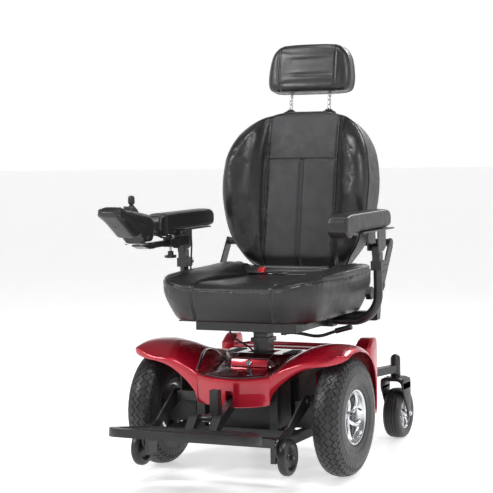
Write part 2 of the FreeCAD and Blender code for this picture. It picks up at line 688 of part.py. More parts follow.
def rear_shroud():
    """The shell behind the drive wheels: a back wall between two tapered towers."""
    back = box("rear_wall", "460", "4", "150", "0", "250", "150")
    top = box("rear_roof", "460", "62", "4", "0", "221", "296")
    towers = [
        plate(f"tower_{side}", "YZ_Plane", [
            ("188", "158"), ("196", "112"), ("250", "112"), ("252", "322"), ("226", "330"),
            ("190", "304"),
        ], "5", f"{sign} * 232")
        for side, sign in both_sides()
    ]
    caps = [
        plate(f"tower_cap_{side}", "YZ_Plane", [
            ("190", "297"), ("252", "297"), ("252", "322"), ("226", "330"), ("190", "304"),
        ], "40", f"{sign} * 212")
        for side, sign in both_sides()
    ]
    return fuse("rear_group", back, top, *towers, *caps)


node(rear_shroud(), "rear_shroud")


# ---------------------------------------------------------------- seat base
def swivel_plate():
    """The bearing and plate that turn on the seat post, with the swivel lever's ears."""
    hub = cylinder("swivel_hub", "30", "14", "0", "dims.post_y", "dims.swivel_z + 0.3")
    top = box("swivel_top", "160", "150", "6", "0", "dims.post_y", "dims.swivel_z + 10")
    ears = [
        box(f"lever_ear_{n}", "16", "4", "16", "66", f"dims.post_y + {shift}",
            "dims.swivel_z - 4")
        for n, shift in enumerate((-10, 10))
    ]
    pin = cylinder_y("lever_pin", "3", "dims.post_y - 12", "dims.post_y + 12", "66",
                     "dims.swivel_z + 3")
    bore = cylinder("swivel_bore", "14.05", "16", "0", "dims.post_y", "dims.swivel_z - 1")
    return cut("swivel_group", fuse("swivel_solid", hub, top, *ears, pin), bore)


node(swivel_plate(), "swivel_plate")


def swivel_lever():
    """A bent rod with a grip; lifting it frees the seat to turn."""
    z = size("dims.swivel_z + 3")
    y = size("dims.post_y")
    points = [Vector(66, y, z), Vector(106, y + 2, z - 1), Vector(160, y + 16, z - 12),
              Vector(206, y + 27, z + 5), Vector(252, y + 28, z + 18)]
    rod = tube("lever_rod", points, 4.5)
    grip = doc.addObject("Part::Feature", "lever_grip")
    along_grip = points[-1] - points[-2]
    grip.Shape = Part.makeCylinder(7.5, along_grip.Length, points[-2], along_grip)
    eye = cylinder_y("lever_eye", "6.5", "dims.post_y - 7.5", "dims.post_y + 7.5", "66",
                     "dims.swivel_z + 3")
    bore = cylinder_y("lever_bore", "3.05", "dims.post_y - 12", "dims.post_y + 12", "66",
                      "dims.swivel_z + 3")
    return cut("lever_group", fuse("lever_solid", rod, grip, eye), bore)


node(swivel_lever(), "swivel_lever")


def seat_frame():
    """The welded frame under the cushion, the armrest receivers and the recline brackets."""
    rail_low = "dims.seat_bottom - 29.8"
    bars = [box("seat_pan", "380", "330", "3.5", "0", "10", "dims.seat_bottom - 4"),
            box("seat_block", "110", "100", "26", "0", "dims.post_y",
                "dims.swivel_z + 16.05")]
    for name, place_y in (("front", -118), ("rear", 216)):
        bars.append(box(f"seat_cross_{name}", "300" if name == "front" else "500", "24",
                        "25.8", "0", place_y, rail_low))
    bores = []
    for side, sign in both_sides():
        bars.append(box(f"seat_rail_{side}", "24", "340", "25.8", f"{sign} * 138", "46",
                        rail_low))
        bars.append(box(f"receiver_{side}", "116", "34", "34", f"{sign} * 112",
                        "dims.arm_tube_y", "dims.seat_bottom - 35"))
        ends = sorted((f"{sign} * 50", f"{sign} * 200"), key=size)
        bores.append(cylinder_x(f"receiver_bore_{side}", "dims.arm_tube_radius + 0.05", *ends,
                                "dims.arm_tube_y", "dims.seat_bottom - 18"))
        bars.append(plate(f"hinge_plate_{side}", "YZ_Plane", [
            ("204", "384"), ("228", "384"), ("dims.hinge_y + 18", "dims.hinge_z", 18.1),
            ("dims.hinge_y - 18", "dims.hinge_z"),
        ], "5", f"{sign} * 252.5"))
        pin = sorted((f"{sign} * 250", f"{sign} * 267"), key=size)
        bars.append(cylinder_x(f"hinge_pin_{side}", "6", *pin, "dims.hinge_y", "dims.hinge_z"))
    return cut("seat_group", fuse("seat_solid", *bars), *bores)


node(seat_frame(), "seat_frame")


# ---------------------------------------------------------------- seat cushion
def seat_cushion():
    """A bucket cushion: it widens upward, and its middle lies lower than its sides."""
    levels = (("dims.seat_bottom", 38, 44, 0), ("dims.seat_bottom + 58", 8, 10, 0),
              ("dims.seat_crest - 40", 0, 0, 0), ("dims.seat_crest - 12", 3, 4, 0),
              ("dims.seat_crest", 22, 26, 10))
    sections = [
        (height, soft_rectangle(f"dims.seat_half - {side}", f"dims.seat_front + {front}",
                                f"dims.seat_rear - 29 - {rear}", "84"))
        for height, side, front, rear in levels
    ]
    body = loft("cushion_solid", sections)
    dip = plate("cushion_dip", "XZ_Plane", [
        ("-158", "dims.seat_dip"), ("158", "dims.seat_dip"), ("196", "dims.seat_crest + 6"),
        ("-196", "dims.seat_crest + 6"),
    ], "640")
    slope = plate("cushion_slope", "YZ_Plane", [
        ("dims.seat_front - 10", "dims.seat_dip + 4"), ("dims.seat_front + 120",
                                                        "dims.seat_crest + 2"),
        ("dims.seat_front - 10", "dims.seat_crest + 30"),
    ], "600")
    return cut("cushion_group", body, dip, slope)


node(seat_cushion(), "seat_cushion")


# ---------------------------------------------------------------- backrest
def lean_back(thing):
    """Stand a piece that was drawn upright on the recline hinge and lean it back."""
    return place(thing, "0", "dims.hinge_y", "dims.hinge_z", (1, 0, 0), "-dims.lean")


def back_outline(inset="0"):
    """Half-round shoulders over sides that narrow to the foot."""
    half = f"(dims.back_half - ({inset}))"
    low = f"(dims.back_low + ({inset}))"
    high = f"(dims.back_high - ({inset}))"
    return [
        (f"-{half} + 66", low), (f"{half} - 66", low, 110), (f"{half} - 18", f"{low} + 86"),
        (half, f"{low} + 210"), (f"{half} - 4", f"{high} - 160", 168),
        (f"{half} - 116", f"{high} - 14"), ("0", high), (f"-{half} + 116", f"{high} - 14", 168),
        (f"-{half} + 4", f"{high} - 160"), (f"-{half}", f"{low} + 210"),
        (f"-{half} + 18", f"{low} + 86", 110),
    ]


def slab_between(name, points, front, back):
    """An outline in the plane of the back, from one depth to another."""
    return plate(name, "XZ_Plane", points, f"({back}) - ({front})",
                 f"-(({front}) + ({back})) / 2")


def backrest_cushion():
    """Deep side bolsters around a flatter middle."""
    body = slab_between("back_pad", back_outline(), "dims.bolster_front", "dims.back_split")
    hollow = plate("back_hollow", "XY_Plane", [
        ("-168", "dims.bolster_front - 10"), ("-dims.panel_half", "dims.panel_front"),
        ("dims.panel_half", "dims.panel_front"), ("168", "dims.bolster_front - 10"),
    ], "900")
    foot = plate("back_foot_cut", "YZ_Plane", [
        ("dims.bolster_front - 10", "60"), ("-34", "60"), ("-40", "110"),
        ("dims.bolster_front", "240"), ("dims.bolster_front - 10", "240"),
    ], "600")
    head = plate("back_head_cut", "YZ_Plane", [
        ("dims.bolster_front - 10", "dims.back_high + 10"),
        ("dims.bolster_front - 10", "dims.back_high - 130"),
        ("dims.bolster_front", "dims.back_high - 130"),
        ("dims.panel_front", "dims.back_high - 26"), ("dims.panel_front", "dims.back_high + 10"),
    ], "600")
    return lean_back(cut("back_cushion_group", body, hollow, foot, head))


node(backrest_cushion(), "backrest_cushion")


def backrest_shell():
    """The padded rear shell, bored for the headrest posts."""
    body = slab_between("back_shell", back_outline("4"), "dims.back_split + 0.3",
                        "dims.shell_back")
    bores = [
        cylinder(f"post_bore_{side}", "dims.head_post_radius + 0.05", "150",
                 f"{sign} * dims.post_gap", "26", "dims.back_high - 134")
        for side, sign in both_sides()
    ]
    return lean_back(cut("shell_group", body, *bores))


node(backrest_shell(), "backrest_shell")


def backrest_frame():
    """The recline arms, the cross tube behind the shell and its two uprights."""
    bores = []
    bars = [cylinder_x("back_cross", "11", "-262", "262", "60", "128")]
    for side, sign in both_sides():
        bars.append(plate(f"recline_arm_{side}", "YZ_Plane", [
            ("-16", "0", 16.1), ("16", "0"), ("72", "118"), ("64", "140"), ("50", "140"),
        ], "5", f"{sign} * 258.8"))
        bars.append(box(f"back_upright_{side}", "26", "16", "230", f"{sign} * 120",
                        "dims.shell_back + 8.2", "104"))
        ends = sorted((f"{sign} * 240", f"{sign} * 275"), key=size)
        bores.append(cylinder_x(f"arm_bore_{side}", "6.05", *ends, "0", "0"))
    return lean_back(cut("back_frame_group", fuse("back_frame_solid", *bars), *bores))


node(backrest_frame(), "backrest_frame")


def recline_lever():
    """A lever on the left hinge pin with a wedge-shaped handle; it lifts to free the back."""
    arm = plate("recline_lever_arm", "YZ_Plane", [
        ("dims.hinge_y + 13", "dims.hinge_z", 13.1), ("dims.hinge_y - 13", "dims.hinge_z"),
        ("142", "474"), ("142", "460"), ("dims.hinge_y", "dims.hinge_z - 13"),
    ], "4", "264")
    handle = plate("recline_handle", "YZ_Plane", [
        ("102", "468"), ("112", "452"), ("146", "456"), ("150", "472"), ("120", "488"),
    ], "16", "266")
    bore = cylinder_x("recline_bore", "6.05", "250", "275", "dims.hinge_y", "dims.hinge_z")
    return cut("recline_group", fuse("recline_solid", arm, handle), bore)


node(recline_lever(), "recline_lever")


# ---------------------------------------------------------------- headrest
def headrest_guides():
    """Oval sleeves on top of the back that guide the headrest posts."""
    guides = []
    for side, sign in both_sides():
        ring = box(f"guide_{side}", "30", "18", "7", f"{sign} * dims.post_gap", "26",
                   "dims.back_high - 5.7")
        bore = cylinder(f"guide_bore_{side}", "dims.head_post_radius + 0.05", "20",
                        f"{sign} * dims.post_gap", "26", "dims.back_high - 12")
        soft = rounded(f"guide_soft_{side}", ring, "8.5", lambda edge: along(edge, (0, 0, 1)))
        guides.append(cut(f"guide_cut_{side}", soft, bore))
    return lean_back(fuse("guide_group", *guides))


node(headrest_guides(), "headrest_guides")

posts = [
    cylinder(f"head_post_{side}", "dims.head_post_radius", "dims.head_low - dims.back_high + 142",
             f"{sign} * dims.post_gap", "26", "dims.back_high - 112")
    for side, sign in both_sides()
]
node(lean_back(fuse("post_pair", *posts)), "headrest_posts")


def headrest_pad():
    """A rounded pad, wider at the bottom, bored for the posts."""
    pad = plate("head_solid", "XZ_Plane", [
        ("-dims.head_half + 24", "dims.head_low"), ("dims.head_half - 24", "dims.head_low", 26),
        ("dims.head_half", "dims.head_low + 26"),
        ("dims.head_half - 8", "dims.head_high - 44", 44),
        ("dims.head_half - 50", "dims.head_high"), ("-dims.head_half + 50", "dims.head_high", 44),
        ("-dims.head_half + 8", "dims.head_high - 44"),
        ("-dims.head_half", "dims.head_low + 26", 26),
    ], "dims.head_thick", "-26")
    soft = rounded("head_soft", pad, "16",
                   lambda edge: abs(edge.CenterOfMass.y - 26) > 0.4 * size("dims.head_thick"))
    bores = [
        cylinder(f"pad_bore_{side}", "dims.head_post_radius", "31", f"{sign} * dims.post_gap",
                 "26", "dims.head_low - 1")
        for side, sign in both_sides()
    ]
    return lean_back(cut("head_group", soft, *bores))


node(headrest_pad(), "headrest_pad")


# ---------------------------------------------------------------- armrests
def arm_tube(side, sign):
    """A bent tube out of the seat frame, with the clevis tongue that the armrest turns on."""
    y = size("dims.arm_tube_y")
    z = size("dims.seat_bottom - 18")
    x = sign * size("dims.arm_tube_x")
    points = [Vector(sign * 62, y, z), Vector(x, y, z), Vector(x, y, 564)]
    bar = tube(f"arm_bar_{side}", points, size("dims.arm_tube_radius"))
    clamp = box(f"arm_clamp_{side}", "31", "32", "26", f"{sign} * dims.arm_tube_x",
                "dims.arm_tube_y", "536")
    head = box(f"arm_head_{side}", "22", "26", "26", f"{sign} * dims.arm_tube_x",
               "dims.arm_tube_y - 2", "560")
    tongue = plate(f"arm_tongue_{side}", "YZ_Plane", [
        ("dims.arm_pivot_y - 12", "580"), ("dims.arm_pivot_y + 12", "580"),
        ("dims.arm_pivot_y + 12", "dims.arm_pivot_z", 12.1),
        ("dims.arm_pivot_y - 12", "dims.arm_pivot_z"),
    ], "20", f"{sign} * dims.arm_tube_x")
    ends = sorted((f"{sign} * 285", f"{sign} * 315"), key=size)
    bore = cylinder_x(f"tongue_bore_{side}", "5.05", *ends, "dims.arm_pivot_y",
                      "dims.arm_pivot_z")
    return cut(f"arm_tube_cut_{side}", fuse(f"arm_tube_solid_{side}", bar, clamp, head, tongue), bore)


for side, sign in both_sides():
    node(arm_tube(side, sign), f"arm_tube_{side}")

knobs = []
for side, sign in both_sides():
    knob = cylinder_y(f"knob_head_{side}", "14", "dims.arm_tube_y + 19", "dims.arm_tube_y + 35",
                      f"{sign} * dims.arm_tube_x", "549")
    shank = cylinder_y(f"knob_shank_{side}", "5", "dims.arm_tube_y + 16.1",
                       "dims.arm_tube_y + 21", f"{sign} * dims.arm_tube_x", "549")
    knobs += [knob, shank]
node(fuse("knob_group", *knobs), "arm_knobs")


def armrest_bracket(side, sign):
    """Two cheeks on the pivot pin and the plate that carries the pad."""
    bars = []
    for name, shift in (("in", -15.1), ("out", 15.1)):
        bars.append(plate(f"bracket_cheek_{side}_{name}", "YZ_Plane", [
            ("60", "592"), ("96", "588"), ("118", "600"), ("118", "646"), ("60", "646"),
        ], "3.8", f"{sign} * (dims.arm_tube_x + {shift})"))
    bars.append(box(f"bracket_top_{side}", "62", "240", "4", f"{sign} * 286", "67", "645.8"))
    ends = sorted((f"{sign} * 283", f"{sign} * 317"), key=size)
    bars.append(cylinder_x(f"bracket_pin_{side}", "5", *ends, "dims.arm_pivot_y",
                           "dims.arm_pivot_z"))
    if sign < 0:
        sleeve = box("rail_sleeve", "26", "110", "24", "-272", "-4", "604")
        hole = box("rail_sleeve_hole", "16.3", "130", "16.3", "-272", "-4", "607.85")
        bars.append(cut("rail_sleeve_cut", sleeve, hole))
        bars.append(box("rail_hanger", "6", "60", "22", "-272", "-10", "626"))
    return fuse(f"bracket_group_{side}", *bars)


def armrest_pad(side, sign):
    """A padded bar whose underside drops at the front."""
    rear = "dims.arm_rear"
    front = "dims.arm_front"
    low = "dims.arm_top - dims.arm_thick"
    drop = f"{low} - 12" if sign > 0 else low
    body = plate(f"pad_solid_{side}", "YZ_Plane", [
        (front, "dims.arm_top"), (front, drop), (f"{front} + 56", drop),
        (f"{front} + 84", low), (rear, low), (rear, "dims.arm_top"),
    ] if sign > 0 else [
        (front, "dims.arm_top"), (front, low), (rear, low), (rear, "dims.arm_top"),
    ], "dims.arm_wide", f"{sign} * dims.arm_x")
    return rounded(f"pad_soft_{side}", body, "9", lambda edge: (
        edge.CenterOfMass.z > size("dims.arm_top") - 2 or along(edge, (0, 0, 1))))


for side, sign in both_sides():
    node(armrest_bracket(side, sign), f"armrest_bracket_{side}")
    node(armrest_pad(side, sign), f"armrest_pad_{side}")


# ---------------------------------------------------------------- controller
knob_disc = cylinder("slide_knob_disc", "16", "9", "-272", "-39", "570")
knob_hub = cylinder("slide_knob_hub", "8", "14", "-272", "-39", "578")
knob_screw = cylinder("slide_knob_screw", "3.5", "13", "-272", "-39", "590.8")
node(fuse("slide_knob_group", knob_disc, knob_hub, knob_screw), "slide_knob")

rail = box("rail_bar", "16", "244", "16", "-272", "-62", "608")
rail_foot = plate("rail_foot", "YZ_Plane", [
    ("-190", "608"), ("-160", "608"), ("-160", "621.6"), ("-222", "621.6"), ("-222", "617"),
], "40", "dims.pod_x")
node(fuse("rail_group", rail, rail_foot), "controller_rail")


PANEL_OUT = Vector(0, 0.18, 1).normalize()  # square to the pod's sloping top
PANEL_TURN = -math.degrees(math.atan(0.18))  # turns +Z to PANEL_OUT
NOSE_OUT = Vector(0, -96, -138).normalize()  # square to the sloping front face
SOCKET_TURN = 180 - math.degrees(math.atan2(-NOSE_OUT.y, -NOSE_OUT.z))


def on_panel(along_y, above):
    """A height over the pod's sloping top, as an expression."""
    return f"740 + (({along_y}) + 398) * (-0.18) + ({above})"


def over_panel(along_y, above):
    """Expressions for y and z of a place that is square over a point of the sloping top."""
    return (f"({along_y}) + ({above}) * {PANEL_OUT.y}",
            f"{on_panel(along_y, 0)} + ({above}) * {PANEL_OUT.z}")


def controller_housing():
    """A wedge-shaped pod with a cavity for the joystick and a charger socket in its nose."""
    body = plate("pod_solid", "YZ_Plane", [
        ("-180", on_panel("-180", "0")), ("-392", on_panel("-392", "0"), 12),
        ("-402", "725"), ("-264", "629"), ("-238", "622"), ("-200", "622"), ("-172", "640"),
        ("-172", on_panel("-172", "-8")),
    ], "2 * dims.pod_half", "dims.pod_x")
    soft = rounded("pod_soft", body, "7", lambda edge: (
        abs(edge.CenterOfMass.x - size("dims.pod_x")) > size("dims.pod_half") - 1))
    cavity = bind(place(doc.addObject("Part::Sphere", "pod_cavity"), "dims.pod_x",
                        "dims.stick_y", on_panel("dims.stick_y", "-6")), Radius="16.5")
    dial_bore = cylinder("dial_bore", "2.05", "12", "dims.pod_x + 16",
                         *over_panel("-310", "-9"), (1, 0, 0), PANEL_TURN)
    button_bore = cylinder("button_bore", "6.1", "8", "dims.pod_x - 16",
                           *over_panel("-310", "-4"), (1, 0, 0), PANEL_TURN)
    # the charger socket opens through the sloping front face, square to it
    socket = cylinder("socket_bore", "dims.socket_radius", "dims.socket_depth + 20",
                      "dims.pod_x", f"-340 + {NOSE_OUT.y} * (-dims.socket_depth)",
                      f"681.9 + {NOSE_OUT.z} * (-dims.socket_depth)", (1, 0, 0), SOCKET_TURN)
    return cut("pod_group", soft, cavity, dial_bore, button_bore, socket)


node(controller_housing(), "controller_housing")


def joystick_yoke():
    """The gimbal's cross: a hub with an arm each way along both of its axes."""
    middle_z = on_panel("dims.stick_y", "-6")
    hub = box("yoke_hub", "5", "5", "5", "dims.pod_x", "dims.stick_y",
              on_panel("dims.stick_y", "-8.5"))
    arms = cylinder_x("yoke_arms", "1.8", "dims.pod_x - 10.5", "dims.pod_x + 10.5",
                      "dims.stick_y", middle_z)
    pins = cylinder_y("yoke_pins", "1.8", "dims.stick_y - 10.5", "dims.stick_y + 10.5",
                      "dims.pod_x", middle_z)
    return fuse("yoke_group", hub, arms, pins)


node(joystick_yoke(), "joystick_yoke")


def joystick():
    """A domed boot around the gimbal, the stem and the knob."""
    middle_z = on_panel("dims.stick_y", "-6")
    dome = bind(place(doc.addObject("Part::Sphere", "stick_dome"), "dims.pod_x", "dims.stick_y",
                      middle_z), Radius="16")
    hollow = bind(place(doc.addObject("Part::Sphere", "stick_hollow"), "dims.pod_x",
                        "dims.stick_y", middle_z), Radius="13")
    lower = box("stick_lower", "40", "40", "20", "dims.pod_x", "dims.stick_y",
                on_panel("dims.stick_y", "-25"))
    shell = cut("stick_shell", dome, hollow, lower)
    stem = cylinder("stick_stem", "4", "34", "dims.pod_x", "dims.stick_y",
                    on_panel("dims.stick_y", "-0.8"))
    knob = cylinder("stick_knob", "9", "22", "dims.pod_x", "dims.stick_y",
                    on_panel("dims.stick_y", "22"))
    soft = rounded("stick_knob_soft", knob, "5", lambda edge: edge.Closed)
    return fuse("stick_group", shell, stem, soft)


node(joystick(), "joystick")

cap = cylinder("button_cap", "6", "5.5", "dims.pod_x - 16", *over_panel("-310", "-2"),
               (1, 0, 0), PANEL_TURN)
node(cap, "power_button")

dial = cylinder("dial_cap", "9", "9", "dims.pod_x + 16", *over_panel("-310", "0.4"),
                (1, 0, 0), PANEL_TURN)
shaft = cylinder("dial_shaft", "2", "10", "dims.pod_x + 16", *over_panel("-310", "-7.5"),
                 (1, 0, 0), PANEL_TURN)
node(fuse("dial_group", dial, shaft), "speed_dial")


# ---------------------------------------------------------------- seat belt
def seat_belt():
    """Two webbing straps that come up behind the cushion and lie across it."""
    low = "dims.seat_dip + 0.4"
    straps = []
    for name, x in (("near", -128), ("far", 128)):
        straps.append(box(f"strap_up_{name}", "38", "2", "104", x, "222",
                          "dims.seat_dip - 101.6"))
        straps.append(box(f"strap_over_{name}", "38", "37", "2", x, "204.5", low))
    straps.append(box("strap_across", "187", "29", "2", "53.5", "175", low))
    straps.append(box("tongue", "26", "24", "2.6", "-53", "175", low))
    return fuse("belt_group", *straps)


node(seat_belt(), "seat_belt")

buckle = box("buckle_case", "66", "29", "16", "-112", "171.3", "dims.seat_dip + 0.4")
pocket = box("buckle_pocket", "6", "23.6", "12.6", "-80.9", "171.3", "dims.seat_dip + 2.1")
node(cut("buckle_group", buckle, pocket), "belt_buckle")
node(box("buckle_button", "5", "23", "12", "-77.4", "171.3", "dims.seat_dip + 2.4"),
     "belt_button")


# ---------------------------------------------------------------- cables
CABLE_ROUTES = {
    # from the pod's tail to the plug joint under the armrest pad
    "controller_cable": [(-252, -170.4, 650), (-251, -148, 641), (-250, -122, 634),
                         (-250, -98, 634)],
    # from the plug joint, under the pad, down beside the seat and under it
    "arm_cable": [(-250, -62, 634), (-250, -38, 633), (-251, -8, 638), (-251, 22, 636),
                  (-252, 46, 630), (-256, 62, 610), (-260, 66, 578), (-262, 64, 540),
                  (-262, 61, 498), (-260, 56, 456), (-254, 50, 420), (-236, 40, 400),
                  (-206, 29, 391.5), (-172, 20, 389)],
    # from the seat pan down to the hole beside the post
    "seat_cable": [(-66, -98, 406), (-65, -99, 384), (-57, -96, 364), (-43, -85, 350),
                   (-30, -70, 339), (-20, -55, 327.5), (-13, -43, 312)],
}
for name, points in CABLE_ROUTES.items():
    route_points = [Vector(*point) for point in points]
    node(tube(f"{name}_run", route_points, size("dims.cable_radius")), name)

plug = cylinder_y("plug_joint", "7", "-97.8", "-62.2", "-250", "634")
node(plug, "cable_plug")


# ---------------------------------------------------------------- check and export
doc.recompute()
failed = [thing.Name for thing in doc.Objects
          if "Invalid" in thing.State or "Error" in thing.State]
if failed:
    raise RuntimeError(f"these objects failed: {failed}")
for thing in nodes:
    if thing.Shape.isNull() or not thing.Shape.isValid() or thing.Shape.Volume <= 0:
        raise RuntimeError(f"{thing.Label} has no valid shape")

os.makedirs("parts", exist_ok=True)
for thing in nodes:
    thing.Shape.exportStep(os.path.join("parts", f"{thing.Label}.step"))
print(len(nodes), "nodes")
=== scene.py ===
import math
import random

import bmesh
import bpy
import numpy as np
from mathutils import Matrix, Vector
from mathutils.bvhtree import BVHTree


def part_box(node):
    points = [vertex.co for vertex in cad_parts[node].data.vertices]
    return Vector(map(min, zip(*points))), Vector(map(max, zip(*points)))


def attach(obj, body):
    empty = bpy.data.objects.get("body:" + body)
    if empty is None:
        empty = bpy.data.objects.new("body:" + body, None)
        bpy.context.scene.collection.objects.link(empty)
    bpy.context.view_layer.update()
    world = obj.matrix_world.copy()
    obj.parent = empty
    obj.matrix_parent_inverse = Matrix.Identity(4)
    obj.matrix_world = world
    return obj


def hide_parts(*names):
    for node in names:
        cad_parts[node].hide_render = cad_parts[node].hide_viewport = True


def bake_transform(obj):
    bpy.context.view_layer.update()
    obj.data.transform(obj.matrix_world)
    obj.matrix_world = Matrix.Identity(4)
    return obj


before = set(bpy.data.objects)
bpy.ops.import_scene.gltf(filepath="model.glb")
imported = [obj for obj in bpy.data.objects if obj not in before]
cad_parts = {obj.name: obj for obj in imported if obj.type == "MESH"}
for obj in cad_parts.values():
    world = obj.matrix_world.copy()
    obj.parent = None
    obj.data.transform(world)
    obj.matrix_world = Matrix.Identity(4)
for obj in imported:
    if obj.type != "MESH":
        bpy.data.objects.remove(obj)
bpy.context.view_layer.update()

# A mid-wheel-drive power wheelchair. Shapes below are written in millimetres in the CAD
# frame (+Z up, the chair faces -Y, the user's left is +X) and are scaled to metres as
# each mesh is made.
MM = 0.001
SIDES = (("left", 1), ("right", -1))
LEAN = math.radians(9.6)
HINGE_Y, HINGE_Z = 232, 480
DRIVE_X, AXLE_Y, AXLE_Z = 273.5, -100, 160
CASTER_X, CASTER_Y, CASTER_Z = 218, 468, 75
ANTITIP_X, ANTITIP_Y, ANTITIP_Z = 212, -339, 90
ARM_X = 276.5


# ---------------------------------------------------------------- materials
class Look:
    """A procedural material: a Principled shader with layers of colour, gloss and bump."""

    def __init__(self, name, color, rough, metallic=0.0, coat=0.0, coat_rough=0.04,
                 sheen=0.0, specular=0.5):
        self.material = bpy.data.materials.new(name)
        self.material.use_nodes = True
        self.tree = self.material.node_tree
        self.shader = self.tree.nodes["Principled BSDF"]
        self.set("Base Color", (*color, 1))
        self.set("Roughness", rough)
        self.set("Metallic", metallic)
        self.set("Coat Weight", coat)
        self.set("Coat Roughness", coat_rough)
        self.set("Sheen Weight", sheen)
        self.set("Specular IOR Level", specular)
        self.place = self.add("ShaderNodeTexCoord").outputs["Object"]
        self.normal = None

    def set(self, socket, value):
        self.shader.inputs[socket].default_value = value

    def add(self, kind, **settings):
        node = self.tree.nodes.new(kind)
        for key, value in settings.items():
            setattr(node, key, value)
        return node

    def join(self, out, into):
        self.tree.links.new(out, into)

    def stretched(self, scale):
        """Texture coordinates, stretched along the axes."""
        mapping = self.add("ShaderNodeMapping")
        mapping.inputs["Scale"].default_value = scale
        self.join(self.place, mapping.inputs["Vector"])
        return mapping.outputs["Vector"]

    def noise(self, scale, detail=3, stretch=None):
        node = self.add("ShaderNodeTexNoise")
        node.inputs["Scale"].default_value = scale
        node.inputs["Detail"].default_value = detail
        self.join(self.stretched(stretch) if stretch else self.place, node.inputs["Vector"])
        return node.outputs["Fac"]

    def cells(self, scale, feature):
        node = self.add("ShaderNodeTexVoronoi", feature=feature)
        node.inputs["Scale"].default_value = scale
        self.join(self.place, node.inputs["Vector"])
        return node.outputs["Distance"]

    def waves(self, scale, direction="X", distortion=0.0):
        node = self.add("ShaderNodeTexWave", wave_type="BANDS", bands_direction=direction)
        node.inputs["Scale"].default_value = scale
        node.inputs["Distortion"].default_value = distortion
        self.join(self.place, node.inputs["Vector"])
        return node.outputs["Fac"]

    def span(self, value, low, high, start=0.0, end=1.0):
        """A value from start..end spread over low..high."""
        node = self.add("ShaderNodeMapRange", clamp=True)
        node.inputs["From Min"].default_value = start
        node.inputs["From Max"].default_value = end
        node.inputs["To Min"].default_value = low
        node.inputs["To Max"].default_value = high
        self.join(value, node.inputs["Value"])
        return node.outputs["Result"]

    def tint(self, value, dark, light, start=0.3, end=0.7):
        """Base colour that runs from dark to light with a value."""
        ramp = self.add("ShaderNodeValToRGB")
        ramp.color_ramp.elements[0].position = start
        ramp.color_ramp.elements[1].position = end
        ramp.color_ramp.elements[0].color = (*dark, 1)
        ramp.color_ramp.elements[1].color = (*light, 1)
        self.join(value, ramp.inputs["Fac"])
        self.join(ramp.outputs["Color"], self.shader.inputs["Base Color"])
        return self

    def shade(self, value, low, high, start=0.3, end=0.7):
        """Roughness that runs from low to high with a value."""
        self.join(self.span(value, low, high, start, end), self.shader.inputs["Roughness"])
        return self

    def bump(self, value, strength, depth):
        """Another layer of relief, up to depth metres high."""
        node = self.add("ShaderNodeBump")
        node.inputs["Strength"].default_value = strength
        node.inputs["Distance"].default_value = depth
        self.join(value, node.inputs["Height"])
        if self.normal:
            self.join(self.normal, node.inputs["Normal"])
        self.normal = node.outputs["Normal"]
        self.join(self.normal, self.shader.inputs["Normal"])
        return self


def toned(color, factor):
    return tuple(min(1.0, channel * factor) for channel in color)


def leather(name, color, rough, coat=0.0, grain=900, relief=0.00022):
    """Pebbled vinyl: fine cells, faint creases and patches that are polished by use."""
    look = Look(name, color, rough, coat=coat, coat_rough=0.28)
    patches = look.noise(9, 4)
    look.tint(patches, toned(color, 0.78), toned(color, 1.3))
    look.shade(look.noise(38, 5), rough - 0.06, rough + 0.09)
    look.bump(look.cells(grain, "F1"), 0.42, relief)
    look.bump(look.noise(55, 6, (1.0, 1.0, 0.55)), 0.22, 0.0011)
    return look.material


def paint(name, color, rough, coat, metallic=0.0, flake=0.12):
    """Lacquer over a base with fine flakes."""
    look = Look(name, color, rough, metallic, coat=coat, coat_rough=0.025)
    look.tint(look.cells(2600, "F1"), toned(color, 1 - flake), toned(color, 1 + 2 * flake),
              0.1, 0.8)
    look.shade(look.noise(14, 3), rough - 0.03, rough + 0.05)
    look.bump(look.noise(260, 2), 0.05, 0.00012)
    return look.material


def plastic(name, color, rough, grain=1500, relief=0.00012, coat=0.0):
    """Moulded plastic with a fine spark-eroded grain."""
    look = Look(name, color, rough, coat=coat, coat_rough=0.2)
    look.tint(look.noise(24, 4), toned(color, 0.82), toned(color, 1.25))
    look.shade(look.noise(70, 4), rough - 0.06, rough + 0.08)
    look.bump(look.cells(grain, "SMOOTH_F1"), 0.3, relief)
    return look.material


def coated_metal(name, color, rough, relief=0.0001):
    """Powder coat on steel, with orange peel and roughness that varies from place to place."""
    look = Look(name, color, rough, 0.0, coat=0.25, coat_rough=0.22)
    look.tint(look.noise(18, 4), toned(color, 0.8), toned(color, 1.35))
    look.shade(look.noise(90, 3), rough - 0.08, rough + 0.08)
    look.bump(look.noise(900, 2), 0.35, relief)
    return look.material


def bright_metal(name, color, rough, brushed=(1, 1, 1)):
    """Polished or machined metal with fine tool marks."""
    look = Look(name, color, rough, 1.0)
    look.tint(look.noise(30, 3), toned(color, 0.86), toned(color, 1.08))
    look.shade(look.noise(420, 3, brushed), max(0.02, rough - 0.07), rough + 0.1)
    look.bump(look.noise(1400, 2, brushed), 0.12, 0.00005)
    return look.material


def rubber(name, color, rough):
    """Tyre rubber with random lighter and darker patches and roughness that varies from place to
    place.
    """
    look = Look(name, color, rough, sheen=0.08)
    look.tint(look.noise(30, 6), toned(color, 0.75), toned(color, 1.5))
    look.shade(look.noise(120, 4), rough - 0.1, rough + 0.1)
    look.bump(look.noise(1300, 3), 0.3, 0.00016)
    return look.material


def woven(name, color):
    """Belt webbing: diagonal ribs of twisted yarn."""
    look = Look(name, color, 0.62, sheen=0.35)
    ribs = look.waves(520, "DIAGONAL")
    look.tint(look.noise(300, 3), toned(color, 0.7), toned(color, 1.6))
    look.bump(ribs, 0.5, 0.0004)
    look.bump(look.waves(900, "Z"), 0.3, 0.0002)
    return look.material


